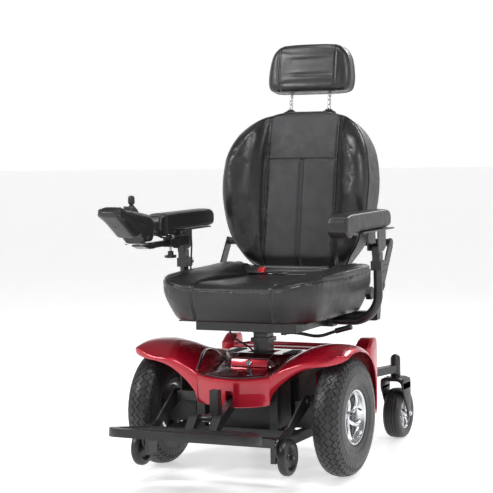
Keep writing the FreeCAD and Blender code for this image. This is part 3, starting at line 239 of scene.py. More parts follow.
LOOKS = {
    "black_frame": coated_metal("powder_black", (0.011, 0.011, 0.012), 0.36),
    "motor_dark": coated_metal("cast_dark", (0.025, 0.025, 0.028), 0.5, 0.0003),
    "red_gloss": paint("candy_red", (0.40, 0.003, 0.018), 0.28, 1.0, 0.55),
    # Painted reflection: a darkened copy of the red lacquer for the top between the wings,
    # standing in for the black seat mirrored in the red.
    "dark_gloss": paint("painted_seat_reflection", (0.05, 0.002, 0.006), 0.18, 1.0, 0.3),
    # Painted reflection: bright metal for the strip that stands in for a highlight mirrored in the
    # wing's crease.
    "silver_trim": bright_metal("painted_highlight_metal", (0.82, 0.82, 0.84), 0.16),
    "rim_silver": bright_metal("machined_rim", (0.74, 0.75, 0.77), 0.2, (1, 6, 6)),
    "chrome": bright_metal("chrome_plate", (0.4, 0.41, 0.43), 0.14),
    "tyre_black": rubber("tyre_rubber", (0.013, 0.013, 0.0145), 0.44),
    "small_tyre": rubber("caster_rubber", (0.014, 0.014, 0.0155), 0.46),
    "black_plastic": plastic("black_abs", (0.012, 0.012, 0.0135), 0.36),
    "battery_case": plastic("grey_abs", (0.03, 0.03, 0.033), 0.5),
    "seat_leather": leather("black_vinyl", (0.0095, 0.0093, 0.0103), 0.34, coat=0.2),
    "panel_leather": leather("charcoal_vinyl", (0.021, 0.0205, 0.0228), 0.5, grain=1100,
                             relief=0.0003),
    "side_leather": leather("side_vinyl", (0.022, 0.0217, 0.0235), 0.4, grain=1000),
    "arm_vinyl": leather("moulded_pad", (0.0125, 0.0125, 0.0135), 0.36, coat=0.1, grain=1500,
                         relief=0.00012),
    "piping": plastic("piping_vinyl", (0.012, 0.012, 0.013), 0.3, 1800, 0.00008, 0.3),
    "thread": plastic("thread_black", (0.03, 0.03, 0.033), 0.55, 3000, 0.0001),
    "webbing": woven("belt_webbing", (0.02, 0.02, 0.022)),
    "release_red": plastic("release_red", (0.52, 0.012, 0.012), 0.3, 2000, 0.00005, 0.4),
    "cable_black": plastic("cable_jacket", (0.016, 0.016, 0.017), 0.42, 2200, 0.00006),
    "stick_rubber": rubber("stick_rubber", (0.015, 0.015, 0.017), 0.5),
    "grey_plastic": plastic("grey_connector", (0.3, 0.31, 0.33), 0.45),
    "lamp_green": plastic("lamp_lens", (0.03, 0.22, 0.06), 0.2, 1500, 0.00003, 0.6),
}


# ---------------------------------------------------------------- mesh helpers
def polish(obj, angle):
    """Smooth shading, with hard edges where faces meet at more than an angle."""
    mesh = obj.data
    mesh.polygons.foreach_set("use_smooth", [True] * len(mesh.polygons))
    mesh.set_sharp_from_angle(angle=math.radians(angle))
    mesh.update()
    return obj


def outward(obj):
    """Turn a closed mesh's faces outward."""
    work = bmesh.new()
    work.from_mesh(obj.data)
    bmesh.ops.recalc_face_normals(work, faces=work.faces)
    work.to_mesh(obj.data)
    work.free()
    return obj


def linked(name, data):
    """A new object in the scene."""
    obj = bpy.data.objects.new(name, data)
    bpy.context.scene.collection.objects.link(obj)
    return obj


def solid(name, points, faces, angle=32):
    """A closed mesh object from points in millimetres."""
    mesh = bpy.data.meshes.new(name)
    mesh.from_pydata([tuple(float(c) * MM for c in p) for p in points], [], faces)
    mesh.validate()
    return polish(outward(linked(name, mesh)), angle)


def open_sheet(name, rows, faces, facing):
    """An open surface over rows of points, its faces turned to look in a direction."""
    mesh = bpy.data.meshes.new(name)
    mesh.from_pydata([tuple(c * MM for c in p) for row in rows for p in row], [], faces)
    work = bmesh.new()
    work.from_mesh(mesh)
    bmesh.ops.delete(work, geom=[v for v in work.verts if not v.link_faces], context="VERTS")
    if sum(f.normal.dot(Vector(facing)) for f in work.faces) < 0:
        bmesh.ops.reverse_faces(work, faces=work.faces)
    work.to_mesh(mesh)
    work.free()
    return linked(name, mesh)


def bake(obj):
    """Apply an object's modifiers."""
    graph = bpy.context.evaluated_depsgraph_get()
    mesh = bpy.data.meshes.new_from_object(obj.evaluated_get(graph))
    obj.modifiers.clear()
    obj.data = mesh
    return obj


def modify(obj, kind, **settings):
    """Add a modifier and apply it."""
    modifier = obj.modifiers.new(kind, kind)
    for key, value in settings.items():
        setattr(modifier, key, value)
    return bake(obj)


def bevelled(obj, width, segments=3, angle=35):
    modify(obj, "BEVEL", width=width * MM, segments=segments, limit_method="ANGLE",
           angle_limit=math.radians(angle), harden_normals=False)
    return polish(obj, 40)


def joined(name, objects):
    """Several objects as one, keeping their materials."""
    work = bmesh.new()
    materials = []
    for obj in objects:
        shift = {}
        for index, material in enumerate(obj.data.materials):
            if material not in materials:
                materials.append(material)
            shift[index] = materials.index(material)
        start = len(work.faces)
        obj.data.transform(obj.matrix_world)
        work.from_mesh(obj.data)
        work.faces.ensure_lookup_table()
        for face in work.faces[start:]:
            face.material_index = shift.get(face.material_index, 0)
    mesh = bpy.data.meshes.new(name)
    work.to_mesh(mesh)
    work.free()
    for material in materials:
        mesh.materials.append(material)
    for obj in objects:
        bpy.data.objects.remove(obj)
    return linked(name, mesh)


def paint_with(obj, *looks):
    """Give an object its materials, the first to every face."""
    obj.data.materials.clear()
    for look in looks:
        obj.data.materials.append(LOOKS[look])
    return obj


def dress(obj, body, look, stands_for=()):
    """Material, body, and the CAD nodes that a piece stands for."""
    if look:
        paint_with(obj, look)
    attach(obj, body)
    if stands_for:
        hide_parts(*([stands_for] if isinstance(stands_for, str) else stands_for))
    return obj


def unite(name, body, nodes, look, parts, others=()):
    """One piece from parts of one look and others that have theirs already."""
    for part in parts:
        paint_with(part, look)
    return dress(joined(name, [*parts, *others]), body, None, nodes)


def circle(count):
    """Angles of evenly spaced places round a circle."""
    return [2 * math.pi * k / count for k in range(count)]


def grid_faces(rows, columns, closed_rows=False, closed_columns=False):
    """Quads between the points of a grid that is stored row by row."""
    faces = []
    for r in range(rows if closed_rows else rows - 1):
        for c in range(columns if closed_columns else columns - 1):
            after_r = (r + 1) % rows
            after_c = (c + 1) % columns
            faces.append((r * columns + c, r * columns + after_c,
                          after_r * columns + after_c, after_r * columns + c))
    return faces


def turned(profile, centre, steps, axis):
    """Places (along, radius) of a profile, turned about an axis through a centre."""
    points = []
    for turn in circle(steps):
        for along, radius in profile:
            a, b = radius * math.cos(turn), radius * math.sin(turn)
            offset = {"X": (along, a, b), "Y": (a, along, b), "Z": (a, b, along)}[axis]
            points.append([c + o for c, o in zip(centre, offset)])
    return points


def quad(r, c, count):
    """The face between four neighbours in rows of count points."""
    return (r * count + c, (r + 1) * count + c, (r + 1) * count + c + 1, r * count + c + 1)


def lathe(name, profile, centre, steps=96, angle=32, axis="X"):
    """A closed ring or disc turned from a closed profile."""
    faces = grid_faces(steps, len(profile), True, True)
    return solid(name, turned(profile, centre, steps, axis), faces, angle)


def capped_lathe(name, profile, centre, steps=48, angle=32, axis="X"):
    """A turned solid whose profile starts and ends on the axis."""
    ring = profile[1:-1]
    points = turned(ring, centre, steps, axis)
    faces = grid_faces(steps, len(ring), True, False)
    for end, column in ((profile[0], 0), (profile[-1], len(ring) - 1)):
        tip = len(points)
        points += turned([end], centre, 1, axis)
        for step in range(steps):
            here = step * len(ring) + column
            there = ((step + 1) % steps) * len(ring) + column
            faces.append((here, there, tip) if column == 0 else (there, here, tip))
    return solid(name, points, faces, angle)


def loft(name, rings, angle=180):
    """A skin over closed rings of equal length, capped at both ends."""
    count = len(rings[0])
    points = [p for ring in rings for p in ring]
    faces = grid_faces(len(rings), count, False, True)
    faces.append(tuple(range(count))[::-1])
    last = (len(rings) - 1) * count
    faces.append(tuple(last + n for n in range(count)))
    return solid(name, points, faces, angle)


def hoop(name, rings, angle):
    """A skin over closed rings whose last meets the first."""
    points = [p for ring in rings for p in ring]
    return solid(name, points, grid_faces(len(rings), len(rings[0]), True, True), angle)


def prism(name, outline, axis, low, high, bevel=0.0, segments=2, angle=35):
    """An outline pushed along an axis; its points are the two other axes in order."""
    put = {"X": lambda a, b, t: (t, a, b), "Y": lambda a, b, t: (a, t, b),
           "Z": lambda a, b, t: (a, b, t)}[axis]
    count = len(outline)
    points = [put(a, b, low) for a, b in outline] + [put(a, b, high) for a, b in outline]
    faces = [tuple(range(count))[::-1], tuple(range(count, 2 * count))]
    for n in range(count):
        after = (n + 1) % count
        faces.append((n, after, count + after, count + n))
    obj = solid(name, points, faces)
    return bevelled(obj, bevel, segments, angle) if bevel else obj


def slab(name, low, high, bevel=1.0, segments=2):
    """A box between two corners with softened edges."""
    outline = [(low[0], low[1]), (high[0], low[1]), (high[0], high[1]), (low[0], high[1])]
    return prism(name, outline, "Z", low[2], high[2], bevel, segments)


def smooth_path(points, closed=False, per_span=8):
    """Catmull-Rom points through a list of places."""
    places = [Vector(p) for p in points]
    count = len(places)
    result = []
    spans = count if closed else count - 1
    for n in range(spans):
        if closed:
            p0, p1, p2, p3 = (places[(n + k - 1) % count] for k in range(4))
        else:
            p1, p2 = places[n], places[n + 1]
            p0 = places[n - 1] if n else p1 * 2 - p2
            p3 = places[n + 2] if n + 2 < count else p2 * 2 - p1
        for step in range(per_span):
            t = step / per_span
            result.append(0.5 * ((2 * p1) + (p2 - p0) * t + (2 * p0 - 5 * p1 + 4 * p2 - p3) * t * t
                                 + (3 * p1 - p0 - 3 * p2 + p3) * t * t * t))
    if not closed:
        result.append(places[-1])
    return result


def tube(name, path, radius, sides=10, closed=False):
    """A round bar along a path; radius may be a function of the share of its length."""
    path = [Vector(p) for p in path]
    count = len(path)
    rings = []
    side = None
    for n, place in enumerate(path):
        before = path[n - 1] if n or closed else path[0]
        after = path[(n + 1) % count] if n + 1 < count or closed else path[-1]
        ahead = (after - before).normalized()
        if side is None:
            side = ahead.orthogonal().normalized()
        side = (side - ahead * side.dot(ahead)).normalized()
        up = ahead.cross(side)
        size = radius(n / (count - 1)) if callable(radius) else radius
        rings.append([place + (side * math.cos(a) + up * math.sin(a)) * size
                      for a in circle(sides)])
    return hoop(name, rings, 60) if closed else loft(name, rings, 60)


def step_up(value, start, end):
    """0 before start, 1 after end and a smooth rise between them."""
    t = min(1.0, max(0.0, (value - start) / (end - start)))
    return t * t * (3 - 2 * t)


def between(value, knots):
    """Linear interpolation through (place, height) knots."""
    return float(np.interp(value, [k[0] for k in knots], [k[1] for k in knots]))


def keep(node, look, bevel):
    """Show a CAD node with a better material and softened edges."""
    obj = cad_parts[node]
    paint_with(obj, look)
    obj.modifiers.new("weld", "WELD").merge_threshold = 0.00002
    soft = obj.modifiers.new("soft", "BEVEL")
    soft.width = bevel * MM
    soft.segments = 2
    soft.limit_method = "ANGLE"
    soft.angle_limit = math.radians(50)
    soft.use_clamp_overlap = True
    soft.harden_normals = False


# ---------------------------------------------------------------- camera, light and floor
def set_camera():
    """A long lens, a little above the chair and to its left front."""
    data = bpy.data.cameras.new("camera")
    data.sensor_width = 36
    data.lens = 121.98
    data.clip_end = 60
    camera = linked("camera", data)
    ahead = Vector((-0.42613, 0.90188, -0.07094)).normalized()
    right = Vector((0.90458, 0.42584, -0.01992))
    right = (right - ahead * right.dot(ahead)).normalized()
    up = right.cross(ahead)
    turn = Matrix((right, up, -ahead)).transposed().to_4x4()
    camera.matrix_world = Matrix.Translation(Vector((1.93223, -4.2017, 0.93442))) @ turn
    bpy.context.scene.camera = camera


def area_light(name, place, target, size, power):
    data = bpy.data.lights.new(name, "AREA")
    data.shape = "RECTANGLE"
    data.size, data.size_y = size
    data.energy = power
    light = linked(name, data)
    light.location = place
    aim = Vector(target) - Vector(place)
    light.rotation_euler = aim.to_track_quat("-Z", "Y").to_euler()


def set_stage():
    """Soft studio light over a pale, faintly glossy floor."""
    world = bpy.data.worlds.new("studio")
    bpy.context.scene.world = world
    world.use_nodes = True
    nodes = world.node_tree.nodes
    links = world.node_tree.links
    sky = nodes["Background"]
    sky.inputs["Color"].default_value = (1, 1, 1, 1)
    height = nodes.new("ShaderNodeSeparateXYZ")
    fade = nodes.new("ShaderNodeMapRange")
    for socket, value in (("From Min", 0.14), ("From Max", 0.5), ("To Min", 1.0), ("To Max", 0.2)):
        fade.inputs[socket].default_value = value
    links.new(nodes.new("ShaderNodeTexCoord").outputs["Generated"], height.inputs["Vector"])
    links.new(height.outputs["Z"], fade.inputs["Value"])
    links.new(fade.outputs["Result"], sky.inputs["Strength"])
    area_light("key", (-2.2, -2.4, 2.6), (0, 0, 0.5), (0.9, 0.9), 62)
    area_light("fill", (2.6, -1.0, 2.4), (0, 0, 0.5), (0.6, 1.6), 34)
    area_light("rim", (0.8, 2.6, 2.4), (0, 0, 0.7), (1.6, 0.6), 38)
    area_light("top", (0.0, -0.6, 3.0), (0, 0, 0.4), (1.2, 0.7), 30)
    mesh = bpy.data.meshes.new("floor")
    mesh.from_pydata([(-30, -30, 0), (30, -30, 0), (30, 30, 0), (-30, 30, 0)], [], [(0, 1, 2, 3)])
    floor = linked("floor", mesh)
    look = Look("pale_floor", (0.86, 0.86, 0.865), 0.34, specular=0.35)
    look.tint(look.noise(3, 3), (0.84, 0.84, 0.845), (0.9, 0.9, 0.905))
    look.shade(look.noise(11, 4), 0.3, 0.4)
    look.set("Emission Color", (1, 1, 1, 1))
    look.set("Emission Strength", 0.52)
    mesh.materials.append(look.material)


set_camera()
set_stage()


# ---------------------------------------------------------------- cords
def cord_line(points):
    """Points along the smooth curve that a cable's route controls, in millimetres."""
    data = bpy.data.curves.new("route", "CURVE")
    data.dimensions = "3D"
    data.resolution_u = 16
    spline = data.splines.new("NURBS")
    spline.points.add(len(points) - 1)
    for point, place in zip(spline.points, points):
        point.co = (*(c * MM for c in place), 1)
    spline.order_u = 3
    spline.use_endpoint_u = True
    obj = linked("route", data)
    graph = bpy.context.evaluated_depsgraph_get()
    graph.update()
    mesh = bpy.data.meshes.new_from_object(obj.evaluated_get(graph))
    line = [vert.co / MM for vert in mesh.vertices]
    bpy.data.objects.remove(obj)
    return line


def cord(name, node, points):
    """A cable's jacket along its route."""
    line = cord_line(points)
    piece = tube(name, line, CORD_RADIUS, 12)
    paint_with(piece, "cable_black")
    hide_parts(node)
    return piece


CORD_RADIUS = 2.6
CONTROLLER_ROUTE = [(-252, -170.4, 650), (-251, -148, 641), (-250, -122, 634), (-250, -98, 634)]
ARM_ROUTE = [(-250, -62, 634), (-250, -38, 633), (-251, -8, 638), (-251, 22, 636), (-252, 46, 630),
             (-256, 62, 610), (-260, 66, 578), (-262, 64, 540), (-262, 61, 498), (-260, 56, 456),
             (-254, 50, 420), (-236, 40, 400), (-206, 29, 391.5), (-172, 20, 389)]
SEAT_ROUTE = [(-66, -98, 406), (-65, -99, 384), (-57, -96, 364), (-43, -85, 350), (-30, -70, 339),
              (-20, -55, 327.5), (-13, -43, 312)]


controller_cable = cord("controller_cable_jacket", "controller_cable", CONTROLLER_ROUTE)
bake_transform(controller_cable)
arm_cable = cord("arm_cable_jacket", "arm_cable", ARM_ROUTE)
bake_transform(arm_cable)
seat_cable = cord("seat_cable_jacket", "seat_cable", SEAT_ROUTE)
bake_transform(seat_cable)


# ---------------------------------------------------------------- drive wheels
CROWN_ROUND, CROWN_CENTRE = 62.4, 97.6  # radius of the crown's section, and of its middle
TEETH, STEPS_PER_TOOTH = 46, 8
GROOVES = ((-43, -1), (-25.5, 1), (-8, -1), (8, -1), (25.5, 1), (43, -1))  # (place, swing)
GROOVE_SECTION = ((-1.7, 0.0), (-0.8, 3.1), (0.8, 3.1), (1.7, 0.0))  # (across, depth)
GROOVE_SWAY = 5.6
TYRE_WALL = [(38.6, 121), (38.9, 119.4), (38.2, 118.6), (38.3, 116.6), (39, 115.6), (39, 111),
             (38.8, 104), (38.0, 97), (38.4, 96.2), (37.6, 94.6), (36.4, 89), (35, 83),
             (34.6, 80), (33.2, 78.6), (31.2, 74.4)]


def tyre_profile():
    """Crown points of the drive tyre, as (x, radius) from its middle to the flank."""
    crown = [(x, CROWN_CENTRE + math.sqrt(CROWN_ROUND ** 2 - x * x))
             for x in np.linspace(0, 25, 12)]
    return crown + [(28, 151.8), (31.4, 147.4), (34.2, 142), (36.4, 135.5), (37.9, 128)]


def drive_tyre(side, sign):
    """A tyre with zigzag grooves that cut its crown into diamonds, and ribbed sidewalls."""
    half = tyre_profile()
    lengths = [0.0]
    for a, b in zip(half, half[1:]):
        lengths.append(lengths[-1] + math.hypot(b[0] - a[0], b[1] - a[1]))

    def crown(w, sunk=0.0):
        """The place at arc length w, sunk below the surface."""
        x = float(np.interp(abs(w), lengths, [p[0] for p in half]))
        r = float(np.interp(abs(w), lengths, [p[1] for p in half]))
        lean = math.atan2(x, max(1.0, r - CROWN_CENTRE))
        return math.copysign(x - sunk * math.sin(lean), w), r - sunk * math.cos(lean)

    columns = []
    for n, (line, phase) in enumerate(GROOVES):
        for offset, sunk in GROOVE_SECTION:
            columns.append((line + offset, phase, sunk))
        if n + 1 < len(GROOVES):
            after, after_phase = GROOVES[n + 1]
            gap = (after - line) / 2
            columns.append((line + gap, (phase + after_phase) / 2, -0.35))
    points = []
    for step, turn in enumerate(circle(TEETH * STEPS_PER_TOOTH)):
        tooth = step % STEPS_PER_TOOTH
        swing = 4 * abs(tooth / STEPS_PER_TOOTH - 0.5) - 1
        notch = 0.7 if tooth in (0, 1) else 0
        wall = [(x, r - (notch if r > 119 else 0)) for x, r in TYRE_WALL]
        ring = [(-x, r) for x, r in reversed(wall)]
        ring += [crown(w + GROOVE_SWAY * swing * phase, sunk) for w, phase, sunk in columns]
        points += [(sign * DRIVE_X + x, AXLE_Y + r * math.cos(turn), AXLE_Z + r * math.sin(turn))
                   for x, r in ring + wall]
    steps = TEETH * STEPS_PER_TOOTH
    faces = grid_faces(steps, len(points) // steps, True, True)
    obj = solid(f"drive_tyre_{side}_tread", points, faces, 24)
    dress(obj, f"drive_wheel_{side}", "tyre_black", f"drive_tyre_{side}")


def drive_rim(side, sign):
    """A polished lip, five swept spokes, the hub and a dark dish behind them."""
    body = f"drive_wheel_{side}"
    centre = Vector((sign * DRIVE_X, AXLE_Y, AXLE_Z))

    def mirrored(profile):
        return [(sign * x, r) for x, r in profile]

    parts = [lathe(f"rim_lip_{side}", mirrored([
        (31, 74), (32.6, 73.2), (32.6, 71), (30.8, 69), (26, 67.4), (22, 66.6), (17, 63.2),
        (11, 60.6), (-20, 59.6), (-28, 62), (-31, 66), (-31, 74)]), centre, 128, 28)]
    for number, turn in enumerate(circle(5)):
        rings = []
        for share in np.linspace(0, 1, 13):
            radius = 15 + share * 49
            swing = turn + 0.35 + sign * 0.52 * share ** 1.3
            width = between(share, [(0, 8.5), (0.35, 5.2), (0.7, 6.4), (1, 10.5)])
            lift = between(share, [(0, 16), (0.4, 20), (0.8, 22.5), (1, 21)])
            out = Vector((0, math.cos(swing), math.sin(swing)))
            across = Vector((0, -math.sin(swing), math.cos(swing)))
            rings.append([centre + out * radius + across * width * math.cos(a)
                          + Vector((sign * (lift - 5 + 6.0 * math.sin(a)), 0, 0))
                          for a in circle(12)])
        parts.append(loft(f"spoke_{side}_{number}", rings, 70))
    parts.append(capped_lathe(f"rim_hub_{side}", mirrored([
        (-16, 0), (-16, 17), (10, 18.5), (17, 17.5), (19.5, 14), (19.5, 0)]), centre, 48, 30))
    for number, turn in enumerate(circle(5)):
        at = centre + Vector((0, 11.2 * math.cos(turn + 0.1), 11.2 * math.sin(turn + 0.1)))
        parts.append(capped_lathe(f"wheel_nut_{side}_{number}", mirrored([
            (19, 0), (19, 3), (22.4, 3), (23, 2.3), (23, 0)]), at, 6, 20))
    unite(f"drive_rim_{side}_polished", body, f"drive_rim_{side}", "rim_silver",
          parts)
    dish = lathe(f"rim_dish_{side}", mirrored([
        (8, 16.5), (4, 30), (0, 50), (2, 60.2), (-4, 60.4), (-6, 50), (-4, 30), (0, 16.5)]),
        centre, 72, 30)
    dress(dish, body, "motor_dark")
    valve = tube(f"tyre_valve_{side}", [centre + Vector((sign * x, y, z)) for x, y, z in (
        (20, 52, 14), (26, 47, 13), (31, 44, 12))], lambda t: 2.6 if t < 0.6 else 2.1, 10)
    dress(valve, body, "small_tyre")


# ---------------------------------------------------------------- casters and anti-tip wheels
def caster_wheel(side, sign):
    """A grooved tyre on a spoked rim."""
    centre = (sign * CASTER_X, CASTER_Y, CASTER_Z)
    profile = [(24, 45.4), (25, 50), (26, 58), (25.6, 64), (23.5, 69), (20, 71.6)]
    grooves = []
    for line in (-13, -4.4, 4.4, 13):
        top = between(abs(line), [(0, 75), (16, 73.2)])
        grooves += [(line - 1.5, top), (line - 1.0, top - 2.4), (line + 1.0, top - 2.4),
                    (line + 1.5, top)]
    ring = ([(-x, r) for x, r in profile] + [(-17.6, 72.8)] + grooves + [(17.6, 72.8)]
            + profile[::-1])
    tyre = lathe(f"caster_tyre_{side}_grooved", ring, centre, 128, 26)
    dress(tyre, f"caster_wheel_{side}", "small_tyre", f"caster_tyre_{side}")
    rim_parts = [lathe(f"caster_ring_{side}", [
        (-22.5, 45), (-22.5, 42), (-15, 38.6), (15, 38.6), (22.5, 42), (22.5, 45)],
        centre, 96, 26)]
    rim_parts.append(lathe(f"caster_hub_{side}", [
        (-24, 5.1), (-24, 11), (-17, 13.6), (17, 13.6), (24, 11), (24, 5.1)], centre, 48, 26))
    for face in (-1, 1):
        for number, a in enumerate(circle(7)):
            rings = []
            for share in np.linspace(0, 1, 7):
                radius = 12.6 + share * 27
                width = between(share, [(0, 4.2), (0.5, 2.9), (1, 5.2)])
                rings.append([(
                    centre[0] + face * (between(share, [(0, 15), (1, 17)]) + 2.8 * math.sin(b)),
                    centre[1] + radius * math.cos(a) - width * math.cos(b) * math.sin(a),
                    centre[2] + radius * math.sin(a) + width * math.cos(b) * math.cos(a))
                    for b in circle(10)])
            rim_parts.append(loft(f"caster_spoke_{side}_{face}_{number}", rings, 70))
    unite(f"caster_rim_{side}_spoked", f"caster_wheel_{side}", f"caster_rim_{side}",
          "rim_silver", rim_parts)


def caster_fork(side, sign):
    """A moulded fork: a broad arched crown over two tapering legs."""
    middle = sign * CASTER_X
    parts = []
    legs = [(412, 176), (412, 158), (418, 146), (452, 90), (457, 70), (464, 63), (474, 63),
            (480, 70), (481, 82), (482, 150), (482, 172), (476, 183), (420, 183)]
    for out in (-1, 1):
        inner = middle + out * 30.2
        low, high = sorted((inner, inner + out * 5.6))
        parts.append(prism(f"fork_leg_{side}_{out}", legs, "X", low, high, 2.2, 3, 25))
    arch = [(-35.8, 150), (-30.2, 150), (-30.2, 160), (-27, 170), (-18, 176), (18, 176),
            (27, 170), (30.2, 160), (30.2, 150), (35.8, 150), (35.8, 170), (31, 181), (21, 186),
            (-21, 186), (-31, 181), (-35.8, 170)]
    parts.append(prism(f"fork_crown_{side}", [(middle + a, b) for a, b in arch], "Y", 413, 481,
                       2.4, 3, 25))
    parts.append(capped_lathe(f"fork_race_{side}", [(182, 0), (182, 16), (187, 14), (188.6, 12.8),
                                                    (188.6, 7), (226, 7), (226, 0)],
                              (middle, 448, 0), 40, 30, "Z"))
    bolts = [capped_lathe(f"fork_bolt_{side}_{out}", [
        (0, 0), (0, 8.5), (out * 2.2, 8.5), (out * 2.4, 6.4), (out * 5.4, 6.2),
        (out * 6.2, 5.2), (out * 6.2, 0)], (middle + out * 36, CASTER_Y, CASTER_Z),
        6 if out > 0 else 24, 20) for out in (-1, 1)]
    bolts.append(capped_lathe(f"fork_axle_{side}", [(-36, 0), (-36, 5), (36, 5), (36, 0)],
                              (middle, CASTER_Y, CASTER_Z), 24, 30))
    unite(f"caster_fork_{side}_moulded", f"caster_{side}", f"caster_fork_{side}",
          "black_plastic", parts,
          [paint_with(bolt, "rim_silver") for bolt in bolts])


def antitip_wheel(side, sign):
    """A black roller with a dished web, and the nut that holds it."""
    centre = (sign * ANTITIP_X, ANTITIP_Y, ANTITIP_Z)
    wheel = lathe(f"antitip_wheel_{side}_dished", [
        (-9, 4.4), (-10, 12), (-6.4, 15), (-5, 26), (-9.6, 31), (-11.4, 34), (-11.5, 41),
        (-9.8, 45), (-5.5, 47.6), (0, 48), (5.5, 47.6), (9.8, 45), (11.5, 41), (11.4, 34),
        (9.6, 31), (5, 26), (6.4, 15), (10, 12), (9, 4.4)], centre, 96, 28)
    dress(wheel, f"antitip_roller_{side}", "black_plastic", f"antitip_wheel_{side}")
    nut = capped_lathe(f"antitip_nut_{side}", [
        (0, 0), (0, 8.6), (1.6, 8.6), (1.8, 6.6), (6.2, 6.6), (7, 5.6), (7, 3.2), (8.6, 3),
        (9, 0)], (sign * ANTITIP_X + (10.4 if sign > 0 else -19.4), ANTITIP_Y, ANTITIP_Z), 6, 20)
    dress(nut, f"antitip_{side}", "chrome")


for side, sign in SIDES:
    drive_tyre(side, sign)
    drive_rim(side, sign)
    caster_wheel(side, sign)
    caster_fork(side, sign)
    antitip_wheel(side, sign)


# ---------------------------------------------------------------- shroud
COLUMNS = [107, 110, 115, 122, 131, 142, 155, 170, 186, 203, 220, 237, 254, 270, 285, 297, 306,
           312, 316, 318]
LIP = [(105, 192), (107, 200), (112, 224), (137, 253), (160, 272), (180, 286), (208, 299),
       (236, 305), (275, 309), (304, 317), (312, 322), (318, 327)]
CREASE = [(105, 273), (107, 274), (130, 287), (153, 297), (178, 306), (203, 312), (229, 313),
          (260, 318), (284, 328), (300, 337), (310, 336), (318, 328)]
FRONT = [(105, -216), (160, -215), (220, -213), (260, -209), (290, -200), (306, -191),
         (314, -183), (318, -172)]
FLAT_TOP = [(105, 291), (116, 303), (126, 312), (143, 322), (161, 331), (185, 343), (203, 348),
            (239, 355)]
REACH = [(105, 131), (143, 162), (161, 171), (185, 183), (203, 188), (239, 195), (270, 194.5),
         (291, 192), (300, 190), (308, 186), (314, 181.5), (318, 177)]


WING_PEAK_Y = -112
NOSE_HALF, NOSE_ROUND = 107, 241.5


def crest(x):
    """Height of the wing over the axle line."""
    arch = AXLE_Z + between(x, REACH)
    return max(between(x, FLAT_TOP), arch) if x < 239 else arch


def wing(side, sign):
    """The red wing over a drive wheel, from the nose's corner to behind the wheel."""
    rows = []
    for x in COLUMNS:
        front, lip, crease, top = between(x, FRONT), between(x, LIP), between(x, CREASE), crest(x)
        column = [(x, front + 1, lip), (x, front, (2 * lip + crease) / 3),
                  (x, front, (lip + 2 * crease) / 3 + 1), (x, front + 1.2, crease)]
        for t in (0.05, 0.14, 0.28, 0.45, 0.64, 0.83):
            column.append((x, front + t * (WING_PEAK_Y - front),
                           crease + (top - crease) * math.sin(t * math.pi / 2) ** 0.9))
        blend = step_up(x, 128, 232)
        reach = between(x, REACH)
        for angle in (0, 8, 18, 28, 38, 48, 58, 68, 78, 88, 93):
            a = math.radians(angle)
            drop = between(angle, [(0, 0), (30, -1), (60, -4), (93, -14)])
            narrow = step_up(angle, 20, 95) * 18 * step_up(x, 250, 318)
            flat = (x, AXLE_Y + 1.94 * angle, top + drop)
            arch = (x - narrow, AXLE_Y + reach * math.sin(a), AXLE_Z + reach * math.cos(a))
            column.append(tuple((1 - blend) * p + blend * q for p, q in zip(flat, arch)))
        rows.append([(sign * p[0], p[1], p[2]) for p in column])
    count = len(rows[0])
    obj = open_sheet(f"base_shroud_wing_{side}", rows, grid_faces(len(rows), count), (0, 0, 1))
    crease_edges = obj.data.attributes.new("crease_edge", "FLOAT", "EDGE")
    for edge in obj.data.edges:
        a, b = edge.vertices
        if a % count == 3 and b % count == 3:
            x = COLUMNS[min(a, b) // count]
            crease_edges.data[edge.index].value = 0.75 * (1 - step_up(x, 255, 305))
    modify(obj, "SUBSURF", levels=2, render_levels=2)
    modify(obj, "SOLIDIFY", thickness=3.2 * MM, offset=-1.0)
    polish(obj, 42)
    dress(obj, "chassis", "red_gloss", "base_shroud")


for side, sign in SIDES:
    wing(side, sign)


def nose_front(x):
    """How far forward the nose reaches."""
    return math.sqrt(NOSE_ROUND ** 2 - NOSE_HALF ** 2) - math.sqrt(NOSE_ROUND ** 2 - x * x) - 215


def nose():
    """The bowed front wall with a rounded top edge and a pocket for the footrest's arm."""
    xs = sorted({-107, -106, -13, -11, 11, 13, 106, 107, *range(-100, 101, 10)} - {-10, 10})
    rows = []
    for x in xs:
        front = nose_front(x)
        top = 266 + 8 * (x / NOSE_HALF) ** 2
        bottom = 199 - 8 * math.cos(x / NOSE_HALF * math.pi / 2) ** 0.6
        rows.append([(x, front + 9, bottom + 1.5), (x, front + 3, bottom),
                     (x, front + 0.6, bottom + 2),
                     *((x, front, z) for z in (205, 212, 221, 230, 236, 240, 250, 258)),
                     (x, front + 0.3, top - 5), (x, front + 1.6, top - 1.8),
                     (x, front + 4.5, top), (x, front + 10, top + 1.0)])
    count = len(rows[0])
    faces = []
    for r, c in ((r, c) for r in range(len(rows) - 1) for c in range(count - 1)):
        if not (-12 < (xs[r] + xs[r + 1]) / 2 < 12 and c < 7):
            faces.append(quad(r, c, count))
    wall = open_sheet("nose", rows, faces, (0, -1, 0))
    modify(wall, "SOLIDIFY", thickness=3.0 * MM, offset=-1.0)
    polish(wall, 35)
    pocket = []
    for low, high in ((-14, -12.4), (12.4, 14)):
        pocket.append(slab("pocket_side", (low, -239, 193), (high, -214, 238), 0.4))
    pocket.append(slab("pocket_top", (-13, -239, 236), (13, -214, 238), 0.4))
    pocket.append(slab("pocket_back", (-13, -216, 214.5), (13, -214, 238), 0.4))
    unite("base_shroud_nose_wall", "chassis", "base_shroud", "red_gloss",
          [wall, *pocket])


nose()


def deck_height(x, y):
    """Height of the deck: a low apron, then a step up to the part around the post."""
    low = 266 + (y + 240) * 0.123 + 6 * (x / NOSE_HALF) ** 2 * step_up(-y, 150, 220)
    high = between(y, [(-240, 300), (-104, 302.5), (-61, 313), (46, 314), (92, 307)])
    beyond = max(0.0, abs(x) - 57)
    start = -110.5 + 1.15 * beyond
    return low + (high - low) * step_up(y, start, start + 7 + 0.6 * beyond)


